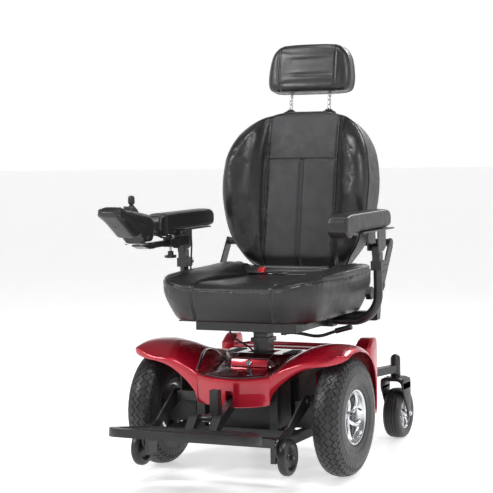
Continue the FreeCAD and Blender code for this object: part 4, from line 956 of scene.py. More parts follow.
def deck():
    """The top between the wings, with the step and the hole around the post; its dark red is a
    painted reflection of the black seat above, mirrored in the glossy red.
    """
    xs = sorted({s * v for s in (-1, 1) for v in (
        0, 10, 20, 30, 40, 50, 55, 57, 59, 63, 70, 78, 86, 94, 102, 107, 112, 117)})
    shares = [0, 0.02, 0.1, 0.22, 0.36, 0.5, 0.6, 0.66]
    ys_back = [-122, -116, -112, -110.5, -109, -107, -105, -103.5, -101, -96, -90, -82, -74, -66,
               -60, -52, -40, -25, 0, 20, 46, 60, 76, 92]
    rows = []
    for x in xs:
        front = nose_front(min(NOSE_HALF, max(-NOSE_HALF, x))) + 9
        rows.append([(x, y, deck_height(x, y) - 6 * step_up(abs(x), 106, 118)
                      * step_up(-y, -60, 200))
                     for y in [front + s * (-122 - front) / 0.7 for s in shares] + ys_back])
    count = len(rows[0])
    faces = []
    for r in range(len(rows) - 1):
        for c in range(count - 1):
            x = (xs[r] + xs[r + 1]) / 2
            y = (rows[r][c][1] + rows[r][c + 1][1]) / 2
            if not (abs(x) < 40 and -40 < y < 20):
                faces.append(quad(r, c, count))
    obj = open_sheet("base_shroud_deck", rows, faces, (0, 0, 1))
    modify(obj, "SOLIDIFY", thickness=3.0 * MM, offset=-1.0)
    polish(obj, 38)
    dress(obj, "chassis", "dark_gloss", "base_shroud")


deck()


def deck_plate(name, outline, thick):
    """A thin plate that follows the deck; its outline is (x, y) points from above."""
    shape = prism(name, outline, "Z", 0, thick)
    work = bmesh.new()
    work.from_mesh(shape.data)
    bmesh.ops.triangulate(work, faces=[f for f in work.faces if len(f.verts) > 4])
    bmesh.ops.subdivide_edges(work, edges=work.edges, cuts=4, use_grid_fill=True)
    for vert in work.verts:
        vert.co.z += (deck_height(vert.co.x / MM, vert.co.y / MM) + 0.3) * MM
    bmesh.ops.recalc_face_normals(work, faces=work.faces)
    work.to_mesh(shape.data)
    work.free()
    modify(shape, "BEVEL", width=0.8 * MM, segments=2, limit_method="ANGLE",
           angle_limit=math.radians(50))
    # Painted reflection: the plates take the darkened red that stands in for the black seat
    # mirrored in the top.
    dress(polish(shape, 35), "chassis", "dark_gloss", "shroud_panel")


deck_plate("shroud_panel_apron", [(-84, -212), (-40, -224), (0, -228), (40, -224), (84, -212),
                                  (62, -119), (-62, -119)], 2.6)
deck_plate("shroud_panel_top", [(-55, -99), (55, -99), (52, -62), (-52, -62)], 2.4)


def on_riser(across, up, out):
    """A place on the sloping step of the deck, out from its face."""
    return (Vector((0, -107.6, 293)) + Vector((across, 0, 0)) + Vector((0, 0.323, 0.946)) * up
            + Vector((0, -0.946, 0.323)) * out)


def riser_block(name, corners, low, high):
    """A block on the riser over four (across, up) corners."""
    points = [on_riser(a, b, out) for out in (low, high) for a, b in corners]
    faces = [(3, 2, 1, 0), (4, 5, 6, 7)]
    faces += [(n, (n + 1) % 4, 4 + (n + 1) % 4, 4 + n) for n in range(4)]
    return solid(name, points, faces)


def riser():
    """The red strip on the step, with the round lock in it."""
    plate = riser_block("shroud_riser", [(-55.5, -10.4), (55.5, -10.4), (53.5, 10.4),
                                         (-53.5, 10.4)], 0.4, 3.4)
    dress(bevelled(plate, 1.2, 3), "chassis", "red_gloss", "shroud_panel")
    rings = [[on_riser(radius * math.cos(a), radius * math.sin(a), out + 3) for a in circle(40)]
             for out, radius in ((0.6, 8.6), (4.4, 8.6), (5.4, 7.6), (5.4, 6.2), (4.4, 5.6),
                                 (4.4, 0.6))]
    barrel = loft("lock_ring", rings, 30)
    keyway = riser_block("lock_keyway", [(-1, -3.6), (1, -3.6), (1, 3.6), (-1, 3.6)], 7.2, 8.2)
    unite("shroud_lock_barrel", "chassis", "shroud_lock", "chrome", [barrel],
          [paint_with(keyway, "black_plastic")])


riser()


def wing_height(x, y):
    """Height of the wing's top at a place in front of the axle line."""
    front = between(x, FRONT)
    crease = between(x, CREASE)
    t = min(1.0, max(0.0, (y - front) / (WING_PEAK_Y - front)))
    return crease + (crest(x) - crease) * math.sin(t * math.pi / 2) ** 0.9


def painted_highlight_strip(side, sign):
    """A bright strip along the inner slope of the wing, hooked at its rear end: a painted
    reflection that stands in for the white surroundings mirrored in the crease there.
    """
    places = [(112, -203), (116, -185), (122, -160), (130, -136), (137, -112), (142, -90),
              (143, -66), (138, -52), (128, -46), (118, -45)]
    path = smooth_path([(sign * x, y, (wing_height(x, y) if y < WING_PEAK_Y else crest(x)) + 1.2)
                        for x, y in places], per_span=6)
    rings = []
    for n, place in enumerate(path):
        before = path[max(0, n - 1)]
        after = path[min(len(path) - 1, n + 1)]
        ahead = (after - before).normalized()
        across = ahead.cross(Vector((0, 0, 1))).normalized()
        up = across.cross(ahead)
        wide = between(n / (len(path) - 1), [(0, 4.5), (0.4, 4.0), (0.75, 2.2), (1, 1.6)])
        rings.append([place + across * a * wide + up * b * 1.3 for a, b in (
            (-1, -0.6), (-0.9, 0.5), (-0.4, 1), (0.4, 1), (0.9, 0.5), (1, -0.6))])
    dress(loft(f"shroud_trim_{side}", rings, 50), "chassis", "silver_trim", "shroud_trim")


def vents(side, sign):
    """A short louvre beside the post."""
    parts = []
    for y in range(-36, 25, 15):
        top = deck_height(96, y)
        parts.append(slab(f"louvre_{side}_{y}", (sign * 84 - 15, y - 3, top - 2),
                          (sign * 84 + 15, y + 3, top + 2.2), 1.2, 3))
    unite(f"shroud_louvre_{side}", "chassis", (), "black_plastic", parts)


for side, sign in SIDES:
    painted_highlight_strip(side, sign)
for side, sign in SIDES:
    vents(side, sign)


def rear_shell():
    """The panel behind the drive wheels between two tapered towers."""
    parts = [prism("rear_panel", [(-214, 150), (214, 150), (214, 296), (150, 306), (-150, 306),
                                  (-214, 296)], "Y", 247, 251, 1.2, 2),
             slab("rear_top", (-212, 190, 294), (212, 251, 299), 1.5, 2)]
    for side, sign in SIDES:
        rings = []
        for z, front, rear, out, into in ((112, 197, 249, 234, 228), (158, 190, 250, 234.5, 216),
                                          (230, 188.5, 251, 235, 196), (304, 190, 252, 235, 190),
                                          (322, 214, 252, 234, 192), (329, 224, 250, 231, 196)):
            rings.append([(sign * x, y, z) for x, y in (
                (into, front), (out - 7, front), (out, front + 9), (out, rear), (into, rear))])
        parts.append(bevelled(loft(f"tower_{side}", rings, 30), 1.6, 3, 18))
    unite("rear_shroud_shell", "chassis", "rear_shroud", "red_gloss", parts)


rear_shell()


# ---------------------------------------------------------------- metal and moulded parts
KEPT = {
    "black_frame": {
        "chassis_frame": 0.8, "seat_post": 1.2, "caster_beam": 1.2, "footrest_stem": 0.8,
        "swivel_plate": 1.2, "swivel_lever": 1.0, "seat_frame": 1.0, "arm_tube_left": 0.7,
        "arm_tube_right": 0.7, "armrest_bracket_left": 0.8, "armrest_bracket_right": 0.8,
        "controller_rail": 0.6, "antitip_arm_left": 0.8, "antitip_arm_right": 0.8,
        "backrest_frame": 0.8},
    "battery_case": {"battery_front": 1.0, "battery_rear": 1.0},
    "motor_dark": {"drive_motor_left": 0.8, "drive_motor_right": 0.8, "joystick_yoke": 0.3},
    "black_plastic": {"recline_lever": 1.6, "footplate": 2.4},
}
for kept_look, nodes in KEPT.items():
    for kept_node, width in nodes.items():
        keep(kept_node, kept_look, width)


# ---------------------------------------------------------------- upholstery
CLOTH_FRAMES = 20


def array_of(items, key):
    """A vector attribute of a mesh's vertices or faces as an array."""
    values = np.empty(len(items) * 3)
    items.foreach_get(key, values)
    return values.reshape(-1, 3)


def move_to(obj, places):
    """Put an object's vertices at places in metres."""
    obj.data.vertices.foreach_set("co", places.ravel())
    obj.data.update()


def inflate(obj, grip):
    """Blow a cover up as pressurised cloth that is pinned by each vertex's grip."""
    group = obj.vertex_groups.new(name="held")
    for step in range(1, 11):
        level = step / 10
        chosen = np.nonzero(np.abs(grip - level) < 0.05)[0]
        group.add([int(n) for n in chosen], level, "REPLACE")
    cloth = obj.modifiers.new("cloth", "CLOTH")
    for key, value in {
            "quality": 5, "mass": 0.25, "tension_stiffness": 30, "compression_stiffness": 30,
            "shear_stiffness": 8, "bending_stiffness": 2.0, "use_pressure": True,
            "uniform_pressure_force": 4, "shrink_min": 0.004,
            "vertex_group_mass": "held"}.items():
        setattr(cloth.settings, key, value)
    cloth.settings.effector_weights.gravity = 0
    cloth.point_cache.frame_start = 1
    cloth.point_cache.frame_end = CLOTH_FRAMES
    for number in range(1, CLOTH_FRAMES + 1):
        bpy.context.scene.frame_set(number)
    bake(obj)
    bpy.context.scene.frame_set(1)


def upholster(obj, voxel, held, cap):
    """Fill a cover with pressure: its held points stay, the rest swells by at most cap."""
    obj = modify(obj, "REMESH", mode="VOXEL", voxel_size=voxel * MM)
    obj = modify(obj, "SMOOTH", factor=0.5, iterations=5)
    start = array_of(obj.data.vertices, "co")
    inflate(obj, held(start[:, 0] / MM, start[:, 1] / MM, start[:, 2] / MM))
    move = array_of(obj.data.vertices, "co") - start
    far = np.linalg.norm(move, axis=1)
    limit = cap * MM
    share = np.where(far > 1e-9, np.minimum(far, limit * np.tanh(far / limit))
                     / np.maximum(far, 1e-9), 1)
    move_to(obj, start + move * share[:, None])
    obj.vertex_groups.clear()
    return modify(obj, "SUBSURF", levels=1, render_levels=1)


def moulded(obj, voxel, rounds):
    """A remeshed and smoothed form, for parts whose edges run soft."""
    modify(obj, "REMESH", mode="VOXEL", voxel_size=voxel * MM)
    modify(obj, "SMOOTH", factor=0.5, iterations=rounds)
    return modify(obj, "SUBSURF", levels=1, render_levels=1)


def sink(obj, depth):
    """Push each vertex in along its normal by depth(places) millimetres; smooth shading."""
    places = array_of(obj.data.vertices, "co") / MM
    normals = array_of(obj.data.vertices, "normal")
    move_to(obj, (places - normals * depth(places)[:, None]) * MM)
    return polish(obj, 180)


def valley(distance, width, depth):
    """A groove of a depth, for arrays of distances from its line."""
    return depth * np.exp(-(distance / width) ** 2)


def ramp(value, start, end):
    """step_up for arrays."""
    t = np.clip((value - start) / (end - start), 0, 1)
    return t * t * (3 - 2 * t)


def zones(obj, rules, base):
    """Materials by place: each rule is (look, chooser of face centres and normals)."""
    paint_with(obj, base, *[look for look, _ in rules])
    faces = obj.data.polygons
    centres, normals = array_of(faces, "center") / MM, array_of(faces, "normal")
    index = np.zeros(len(faces), dtype=np.int32)
    for number, (_, chooser) in enumerate(rules, 1):
        index[chooser(centres, normals)] = number
    faces.foreach_set("material_index", index)
    return obj


def surface(obj):
    """A tree for finding the nearest place on an object's surface."""
    work = bmesh.new()
    work.from_mesh(obj.data)
    tree = BVHTree.FromBMesh(work)
    work.free()
    return tree


def snapped(tree, guide, above, steady=False):
    """Guide points moved to the nearest place on a surface and lifted off it."""
    path = []
    for place in guide:
        hit, normal, _, _ = tree.find_nearest(Vector(place) * MM)
        spot = hit / MM + normal * above
        path.append(Vector((place[0], spot.y, spot.z)) if steady else spot)
    for _ in range(5 if steady else 2):
        path = [path[0]] + [(a + b * 2 + c) / 4 for a, b, c in zip(path, path[1:], path[2:])] \
            + [path[-1]]
    return path


def stitches(name, tree, guide, pitch=5.2, length=3.6):
    """Thread dashes along a guide, each a small rounded bar, as one mesh."""
    path = snapped(tree, guide, 0)
    points = []
    faces = []
    travelled = 0.0
    for a, b in zip(path, path[1:]):
        span = (b - a).length
        travelled += span
        if travelled < pitch or span < 1e-6:
            continue
        travelled -= pitch
        ahead = (b - a).normalized()
        hit, normal, _, _ = tree.find_nearest(b * MM)
        across = ahead.cross(normal).normalized()
        middle = hit / MM + normal * 0.25
        start = len(points)
        for share, size in ((-0.5, 0.35), (-0.3, 1.0), (0.3, 1.0), (0.5, 0.35)):
            points += [middle + ahead * share * length + across * math.cos(turn) * 0.42 * size
                       + normal * math.sin(turn) * 0.42 * size for turn in circle(6)]
        faces += [tuple(start + n for n in face) for face in grid_faces(4, 6, False, True)]
        faces += [tuple(start + k for k in range(6)), tuple(start + 18 + k for k in range(6))]
    return paint_with(solid(name, points, faces, 60), "thread")


def trimming(name, tree, guide, radius, above, closed=False):
    """A welt of piping along a seam; an open one keeps its guide's place across."""
    path = snapped(tree, guide, above, not closed)
    return paint_with(tube(name, path, radius, 10, closed), "piping")


def soft_outline(half, front, rear, front_round, rear_round, per_corner=16, per_side=14):
    """A rounded rectangle from above, the same number of points for every size."""
    arcs = []
    for side, y, inward, radius, begin in (
            (1, front, 1, front_round, -math.pi / 2), (1, rear, -1, rear_round, 0),
            (-1, rear, -1, rear_round, math.pi / 2), (-1, front, 1, front_round, math.pi)):
        radius = max(1.0, min(radius, half - 1, (rear - front) / 2 - 1))
        x, y = side * (half - radius), y + inward * radius
        arcs.append([(x + radius * math.cos(begin + t * math.pi / 2),
                      y + radius * math.sin(begin + t * math.pi / 2))
                     for t in np.linspace(0, 1, per_corner)])
    points = []
    for arc, after in zip(arcs, arcs[1:] + arcs[:1]):
        (ax, ay), (bx, by) = arc[-1], after[0]
        points += arc + [(ax + (bx - ax) * t, ay + (by - ay) * t)
                         for t in np.linspace(0, 1, per_side + 2)[1:-1]]
    return points


def random_waves(seed, low, high, count):
    """Waves of random frequency, phase and height, for the small gathers along seams."""
    rng = random.Random(seed)
    return [(rng.uniform(low, high), rng.uniform(0, 6.28), rng.uniform(0.4, 1))
            for _ in range(count)]


def waver(waves, along):
    return sum(a * np.sin(along * f + b) for f, b, a in waves) / 3


# ---------------------------------------------------------------- seat cushion
SEAT_HALF, SEAT_FRONT, SEAT_REAR = 241, -224, 250
SEAT_SEAM_X = 117
SEAT_SEAM = [(-224, 503), (-190, 504), (-130, 512), (-60, 522), (60, 528), (180, 530), (250, 533)]


def seam_heights(x, y):
    """Height of the seam round the cushion's upper edge, for arrays; it rises at the corners."""
    corner = ramp(np.abs(x), 112, 215) * (1 - ramp(y, -170, -20))
    return np.interp(y, *zip(*SEAT_SEAM)) + 19 * corner


def seat_seam(x, y):
    """Height of that seam at one place."""
    return float(seam_heights(np.array([x]), np.array([y]))[0])


def seat_inside(x, y):
    """Distance in from the cushion's outer sides, for arrays."""
    return np.minimum(SEAT_HALF - np.abs(x), np.minimum(y - SEAT_FRONT, SEAT_REAR - y))


def seat_notch(ring):
    """Room at the rear of a ring for the foot of the back."""
    return [(x, y - 46 * (1 - step_up(abs(x), 148, 180)) * step_up(y, 190, 250), z)
            for x, y, z in ring]


def seat_top(x, y):
    """Height of the cushion's top."""
    crest_z = between(y, [(-224, 519), (-190, 531), (-130, 541), (-60, 545), (190, 546),
                          (225, 547), (250, 541)])
    dip_z = between(y, [(-224, 508), (-195, 518), (-150, 516), (-60, 510), (100, 506), (184, 506),
                        (206, 528), (226, 541), (250, 540)])
    return dip_z + (crest_z - dip_z) * step_up(abs(x), 104, 178)


def seat_cushion():
    rings = []
    for z, inset in ((412, 50), (412.2, 34), (414, 28), (420, 25), (434, 19), (452, 12), (470, 6),
                     (486, 2)):
        rings.append([(x, y, z) for x, y in soft_outline(
            SEAT_HALF - inset, SEAT_FRONT + inset * 1.05, SEAT_REAR - inset, 100, 60)])
    for share in (0.0, 0.35, 1.0):
        rings.append([(x, y, 494 + (seat_seam(x, y) - 494) * share) for x, y in soft_outline(
            SEAT_HALF - 1, SEAT_FRONT + 1, SEAT_REAR - 1, 100, 60)])
    for inset in (4, 10, 18, 28, 40, 56, 76, 100, 130, 160, 185, 200, 210):
        ring = []
        for x, y in soft_outline(SEAT_HALF - inset, SEAT_FRONT + inset, SEAT_REAR - inset,
                                 max(12, 100 - inset), max(12, 60 - inset)):
            seam = seat_seam(x, y)
            roll = math.sqrt(max(0.0, 1 - (1 - min(1.0, inset / 36)) ** 2))
            ring.append((x, y, seam + (seat_top(x, y) - seam) * roll))
        rings.append(ring)
    obj = loft("seat_cushion_cover", [seat_notch(ring) for ring in rings])

    def held(x, y, z):
        """Grip of the base board and of the seams."""
        wall = seat_inside(x, y) < 50
        grip = np.where(z < 421, 1.0, 0.0)
        grip = np.maximum(grip, np.where(wall, valley(z - seam_heights(x, y), 5.0, 1.0), 0))
        long_seam = valley(np.abs(x) - SEAT_SEAM_X, 4.0, 1.0)
        return np.maximum(grip, np.where((y < -150) | (z > 490), long_seam, 0))

    obj = upholster(obj, 5, held, 9)
    waves = random_waves(5, 0.12, 0.5, 7)

    def depth(p):
        x, y, z = p[:, 0], p[:, 1], p[:, 2]
        seam = seam_heights(x, y)
        wall = ramp(-seat_inside(x, y), -34, -16)
        gather = waver(waves, np.arctan2(y * 1.1, x) * 240)
        ring = valley(z - seam, 3.4, 3.0) + valley(z - seam + 9, 6.5, 1.0) * gather
        front_or_top = np.maximum(ramp(-y, 140, 160), ramp(z, 484, 492))
        line = valley(np.abs(x) - SEAT_SEAM_X, 3.6, 3.4) * front_or_top * ramp(z, 413, 420)
        line += valley(np.abs(x) - SEAT_SEAM_X, 16, 0.7) * waver(waves, y + z) * front_or_top
        return ring * wall + line

    sink(obj, depth)
    tree = surface(obj)
    parts = [zones(obj, [("side_leather", lambda c, n: (n[:, 2] < 0.35) & (c[:, 2] < 505)
                          & (c[:, 2] > 425))], "seat_leather")]
    for side, sign in SIDES:
        guide = [(sign * SEAT_SEAM_X, SEAT_FRONT + 26 - (z - 420) * 0.4, z)
                 for z in np.linspace(420, 470, 9)]
        guide += [(sign * SEAT_SEAM_X, SEAT_FRONT + 8, z) for z in np.linspace(476, 500, 6)]
        guide += [(sign * SEAT_SEAM_X, y, seat_top(SEAT_SEAM_X, y) + 2)
                  for y in np.linspace(SEAT_FRONT + 8, 196, 60)]
        parts.append(trimming(f"seat_welt_{side}", tree, guide, 2.1, 0.4))
    for offset in (5.5, -5.5):
        guide = [(x, y, seat_seam(x, y) + offset) for x, y in soft_outline(
            SEAT_HALF, SEAT_FRONT, SEAT_REAR, 100, 60, 60, 90)]
        parts.append(stitches(f"seat_stitch_{offset}", tree, guide + guide[:1]))
    piece = joined("seat_cushion_upholstery", parts)
    dress(piece, "seat", None, "seat_cushion")


seat_cushion()


# ---------------------------------------------------------------- backrest
PANEL_HALF = 109
PANEL_TOP = 362
BACK_EDGE = [(0, 505), (60, 504.4), (117, 491), (150, 474), (178, 450), (200, 420), (215, 388),
             (224, 352), (229, 312), (230, 280), (227, 235), (220, 190), (209, 150), (194, 116),
             (179, 94), (164, 74), (149, 56), (124, 45), (80, 42), (0, 42)]


def leaned(x, d, h):
    """A place on the back, from x across, d to the rear and h up its slope."""
    return (x, HINGE_Y + d * math.cos(LEAN) + h * math.sin(LEAN),
            HINGE_Z - d * math.sin(LEAN) + h * math.cos(LEAN))


def upright(p):
    """The (x, d, h) of places, for arrays."""
    y, z = p[:, 1] - HINGE_Y, p[:, 2] - HINGE_Z
    return np.stack([p[:, 0], y * math.cos(LEAN) - z * math.sin(LEAN),
                     y * math.sin(LEAN) + z * math.cos(LEAN)], axis=1)


def mirrored_outline(half, per_span=5):
    """A smooth closed outline as (x, h), from its points on one side."""
    right = [(p.x, p.y) for p in smooth_path([(x, h, 0) for x, h in half], per_span=per_span)]
    return right + [(-x, h) for x, h in right[-2:0:-1]]


def shrunk(outline, inset, middle=(0, 290)):
    """An outline moved in by an inset, square to itself."""
    count = len(outline)
    result = []
    for n, (x, h) in enumerate(outline):
        ax, ah = outline[n - 1]
        bx, bh = outline[(n + 1) % count]
        tx, th = bx - ax, bh - ah
        size = math.hypot(tx, th) or 1
        nx, nh = -th / size, tx / size
        if nx * (middle[0] - x) + nh * (middle[1] - h) < 0:
            nx, nh = -nx, -nh
        result.append((x + nx * inset, h + nh * inset))
    return result


def back_front(x, h):
    """Depth of the front of the back: a flatter middle between deep bolsters."""
    wide = between(h, [(78, 168), (150, 209), (235, 227), (352, 224), (420, 200), (505, 120)])
    rise = step_up(abs(x), PANEL_HALF - 3, max(PANEL_HALF + 34, wide - 44))
    tall = between(h, [(78, 26), (120, 36), (190, 62), (250, 82), (360, 84), (420, 66), (470, 34),
                       (505, 10)])
    crown = -4 * (1 - (min(abs(x), PANEL_HALF) / PANEL_HALF) ** 2)
    roll = between(h, [(42, 8), (60, -6), (78, -15), (120, -13), (400, -12), (470, -6), (505, 2)])
    return roll + crown - tall * rise


BACK_WIDTHS = [(56, 149), (74, 164), (94, 179), (116, 194), (150, 209), (190, 220), (235, 227),
               (280, 230), (352, 224), (388, 215), (420, 200), (450, 178), (474, 150), (491, 117)]
BACK_WELT = [(42, 12), (60, -4), (78, -20), (140, -42), (250, -58), (360, -58), (430, -42),
             (480, -14), (505, 4)]


def backrest():
    outline = mirrored_outline(BACK_EDGE)
    rings = []
    for d, inset in ((44, 60), (44, 26), (43, 12), (38, 4), (26, 0.5), (12, 0)):
        rings.append([leaned(x, d, h) for x, h in shrunk(outline, inset)])
    for share in (0.25, 0.6, 0.85, 1.0):
        rings.append([leaned(x, 12 + (between(h, BACK_WELT) - 12) * share, h)
                      for x, h in outline])
    for inset in (3, 8, 15, 24, 34, 46, 60, 78, 98, 120):
        roll = math.sqrt(max(0.0, 1 - (1 - min(1.0, inset / 40)) ** 2))
        ring = []
        for (x, h), (_, oh) in zip(shrunk(outline, inset), outline):
            edge = between(oh, BACK_WELT)
            ring.append(leaned(x, edge + (back_front(x, h) - edge) * roll, h))
        rings.append(ring)
    for share in (0.25, 0.5, 0.75, 0.93):
        inner = [(x * (1 - share), h + (290 - h) * share) for x, h in shrunk(outline, 120)]
        rings.append([leaned(x, back_front(x, h), h) for x, h in inner])
    obj = loft("backrest_cover", rings)

    def seam_lines(p):
        """Distances to the upholstery's seams in the middle of the front, and to the welt."""
        x, d, h = p[:, 0], p[:, 1], p[:, 2]
        front = d < 8
        far = np.full(len(x), 99.0)
        sides = np.where(front, np.abs(np.abs(x) - PANEL_HALF), far)
        cross = np.where(front & (np.abs(x) < PANEL_HALF), np.abs(h - PANEL_TOP), far)
        middle = np.where(front & (h < PANEL_TOP), np.abs(x), far)
        return sides, cross, middle

    def edge_gap(p):
        """Distance in depth from the welt's line."""
        line = np.interp(p[:, 2], *zip(*BACK_WELT))
        wide = np.interp(p[:, 2], *zip(*BACK_WIDTHS))
        near = np.maximum(ramp(np.abs(p[:, 0]), 0, 1) * (np.abs(p[:, 0]) > wide - 14),
                          (p[:, 2] > 492) * 1.0)
        return np.where(near > 0, np.abs(p[:, 1] - line), 99.0)

    def held(x, y, z):
        p = upright(np.stack([x, y, z], axis=1))
        sides, cross, middle = seam_lines(p)
        grip = np.where(p[:, 1] > 34, 1.0, 0.0)
        for gap in (sides, cross, middle, edge_gap(p)):
            grip = np.maximum(grip, valley(gap, 4.5, 1.0))
        return grip

    obj = upholster(obj, 5, held, 10)
    waves = random_waves(11, 0.1, 0.4, 6)

    def depth(places):
        p = upright(places)
        x, h = p[:, 0], p[:, 2]
        sides, cross, middle = seam_lines(p)
        gather = waver(waves, h + 0.4 * x)
        return (valley(sides, 4.0, 4.0) + valley(sides, 12, 0.6) * gather
                + valley(cross, 2.6, 3.4) + valley(middle, 5.5, 4.6)
                + valley(cross, 12, 0.5) * gather + valley(edge_gap(p), 3.0, 2.2))

    sink(obj, depth)

    def panel(c, n):
        p = upright(c)
        return (np.abs(p[:, 0]) < PANEL_HALF) & (p[:, 1] < 8) & (n[:, 1] < -0.2)

    def boxing(c, _):
        p = upright(c)
        return p[:, 1] > np.interp(p[:, 2], *zip(*BACK_WELT))

    zones(obj, [("side_leather", boxing), ("panel_leather", panel)], "seat_leather")
    tree = surface(obj)
    parts = [obj]
    for side, sign in SIDES:
        guide = [leaned(sign * PANEL_HALF, back_front(PANEL_HALF, h) - 2, h)
                 for h in np.linspace(58, 500, 80)]
        parts.append(trimming(f"panel_welt_{side}", tree, guide, 1.8, 0.2))
    guide = [leaned(x, between(h, BACK_WELT), h) for x, h in mirrored_outline(BACK_EDGE, 10)]
    parts.append(trimming("edge_welt", tree, guide, 2.6, 0.9, closed=True))
    guide = [leaned(x, back_front(x, PANEL_TOP) - 2, PANEL_TOP - 4.5)
             for x in np.linspace(-104, 104, 60)]
    parts.append(stitches("cross_stitch", tree, guide))
    for offset in (-8.5, 8.5):
        guide = [leaned(offset, back_front(0, h) - 2, h) for h in np.linspace(92, 354, 70)]
        parts.append(stitches(f"middle_stitch_{offset}", tree, guide))
    for sign in (-1, 1):
        guide = [leaned(sign * (PANEL_HALF - 6), back_front(PANEL_HALF - 6, h) - 2, h)
                 for h in np.linspace(92, 496, 90)]
        parts.append(stitches(f"panel_stitch_{sign}", tree, guide))
    piece = joined("backrest_upholstery", parts)
    dress(piece, "backrest", None, ("backrest_cushion", "backrest_shell"))


backrest()


# ---------------------------------------------------------------- headrest
def headrest():
    """The pad with its two seams and the welt round its rim."""
    outline = [(0, 708), (70, 707), (96, 700), (116, 682), (126, 655), (131, 620), (131, 594),
               (125, 574), (108, 565), (60, 563), (0, 563)]
    ring_line = mirrored_outline(outline)
    rings = []
    for d, inset in ((66, 44), (65.5, 24), (62, 11), (55, 4), (44, 1), (26, 0), (6, 0.5),
                     (-4, 3), (-10, 8), (-13.5, 15), (-15, 26), (-16, 44)):
        bow = 10 if d < 0 else 2
        rings.append([leaned(x, d + bow * (x / 131) ** 2, h)
                      for x, h in shrunk(ring_line, inset, (0, 636))])
    obj = loft("headrest_cover", rings)

    def side_seams(p):
        return np.where(p[:, 1] < 60, np.abs(np.abs(p[:, 0]) - 88), 99.0)

    def held(x, y, z):
        p = upright(np.stack([x, y, z], axis=1))
        return np.maximum(valley(p[:, 1] - 40, 5, 1.0), valley(side_seams(p), 3.5, 1.0))

    obj = upholster(obj, 4, held, 3.2)

    def depth(places):
        p = upright(places)
        return valley(p[:, 1] - 40, 2.6, 2.0) + valley(side_seams(p), 2.6, 1.8) * (p[:, 1] < 40)

    sink(obj, depth)
    zones(obj, [], "seat_leather")
    tree = surface(obj)
    guide = [leaned(x, 40, h) for x, h in ring_line]
    parts = [obj, trimming("headrest_welt", tree, guide, 2.0, 0.7, closed=True)]
    for sign in (-1, 1):
        for offset in (-4.5, 4.5):
            line = [leaned(sign * 88 + offset, -20, h) for h in np.linspace(572, 698, 50)]
            parts.append(stitches(f"head_stitch_{sign}_{offset}", tree, line, 4.6, 3.2))
    piece = joined("headrest_upholstery", parts)
    dress(piece, "headrest", None, "headrest_pad")


headrest()


def headrest_hardware():
    """Plated posts with detent notches, and the oval guides that they slide in."""
    posts = []
    guides = []
    for side, sign in SIDES:
        x = sign * 60.7
        path = [leaned(x, 26, h) for h in np.linspace(398, 588, 96)]

        def radius(share):
            h = 398 + share * 190
            notch = min(abs(h - mark) for mark in (526, 540, 554, 568))
            return 4.1 if notch < 1.6 else 5.0

        posts.append(tube(f"head_post_{side}", path, radius, 20))
        guides.append(hoop(f"head_guide_{side}", [
            [leaned(x + wide * math.cos(a), 26 + deep * math.sin(a), h) for a in circle(48)]
            for h, wide, deep in ((500, 21, 13), (506.5, 22, 14), (509, 20, 12), (511.5, 12, 9),
                                  (514.5, 10.5, 8.5), (515.5, 8.6, 7.6), (515.5, 5.4, 5.4),
                                  (500, 5.4, 5.4))], 30))
    unite("headrest_posts_plated", "headrest", "headrest_posts", "chrome", posts)
    unite("headrest_guides_oval", "backrest", "headrest_guides",
          "black_plastic", guides)


headrest_hardware()


# ---------------------------------------------------------------- armrests and controller
def pillow(name, outline, middle, half, edge, inside, dense=7):
    """An outline in (y, z) swept across x, with rounded sides."""
    turns = np.linspace(0, math.pi / 2, dense)
    offsets = [(-half + edge * (1 - math.sin(t)), edge * (1 - math.cos(t))) for t in turns[::-1]]
    offsets += [(-half + edge + (2 * half - 2 * edge) * s, 0) for s in np.linspace(0.1, 0.9, 9)]
    offsets += [(half - edge * (1 - math.sin(t)), edge * (1 - math.cos(t))) for t in turns]
    return loft(name, [[(middle + across, y, z) for y, z in shrunk(outline, inset, inside)]
                       for across, inset in sorted(offsets)], 50)


def rounded_outline(corners, per_corner=7):
    """A polygon with (y, z, radius) corners, as points on its rounded outline."""
    count = len(corners)
    result = []
    for n, (y, z, radius) in enumerate(corners):
        here = Vector((y, z))
        before = Vector(corners[n - 1][:2])
        after = Vector(corners[(n + 1) % count][:2])
        a, b = (before - here).normalized(), (after - here).normalized()
        half_turn = a.angle(b) / 2
        reach = radius / math.tan(half_turn)
        centre = here + (a + b).normalized() * (radius / math.sin(half_turn))
        start, end = here + a * reach, here + b * reach
        for t in np.linspace(0, 1, per_corner):
            result.append(tuple(centre + (start - centre).slerp(end - centre, float(t))))
        reach_after = (after - end).length
        extra = int(reach_after // 18)
        for step in range(1, extra + 1):
            share = step / (extra + 1) * 0.92
            result.append(tuple(end + b * reach_after * share))
    seen = []
    for spot in result:
        if not seen or math.hypot(spot[0] - seen[-1][0], spot[1] - seen[-1][1]) > 0.25:
            seen.append(spot)
    return seen


def arm_pad(side, sign):
    """A moulded pad, deeper at its front, with a seam below; the right one has a crease."""
    corners = [(-140, 699.5, 7), (-140, 638, 9), (-92, 638, 9), (-66, 650.5, 12), (197, 650.5, 5),
               (197, 699.5, 7)]
    obj = moulded(pillow(f"armrest_pad_{side}_moulded", rounded_outline(corners), sign * ARM_X,
                         29, 6, (20, 676)), 3.4, 2)

    def depth(p):
        crease = valley(p[:, 1] + 104, 2.4, 2.2 if side == "right" else 0.0)
        parting = valley(p[:, 2] - 657, 1.5, 0.9) * (p[:, 1] > -60)
        crown = -1.6 * (1 - ((p[:, 0] - sign * ARM_X) / 29) ** 2) * (p[:, 2] > 690)
        return crease + parting + crown

    sink(obj, depth)
    dress(obj, f"armrest_{side}", "arm_vinyl", f"armrest_pad_{side}")


for side, sign in SIDES:
    arm_pad(side, sign)


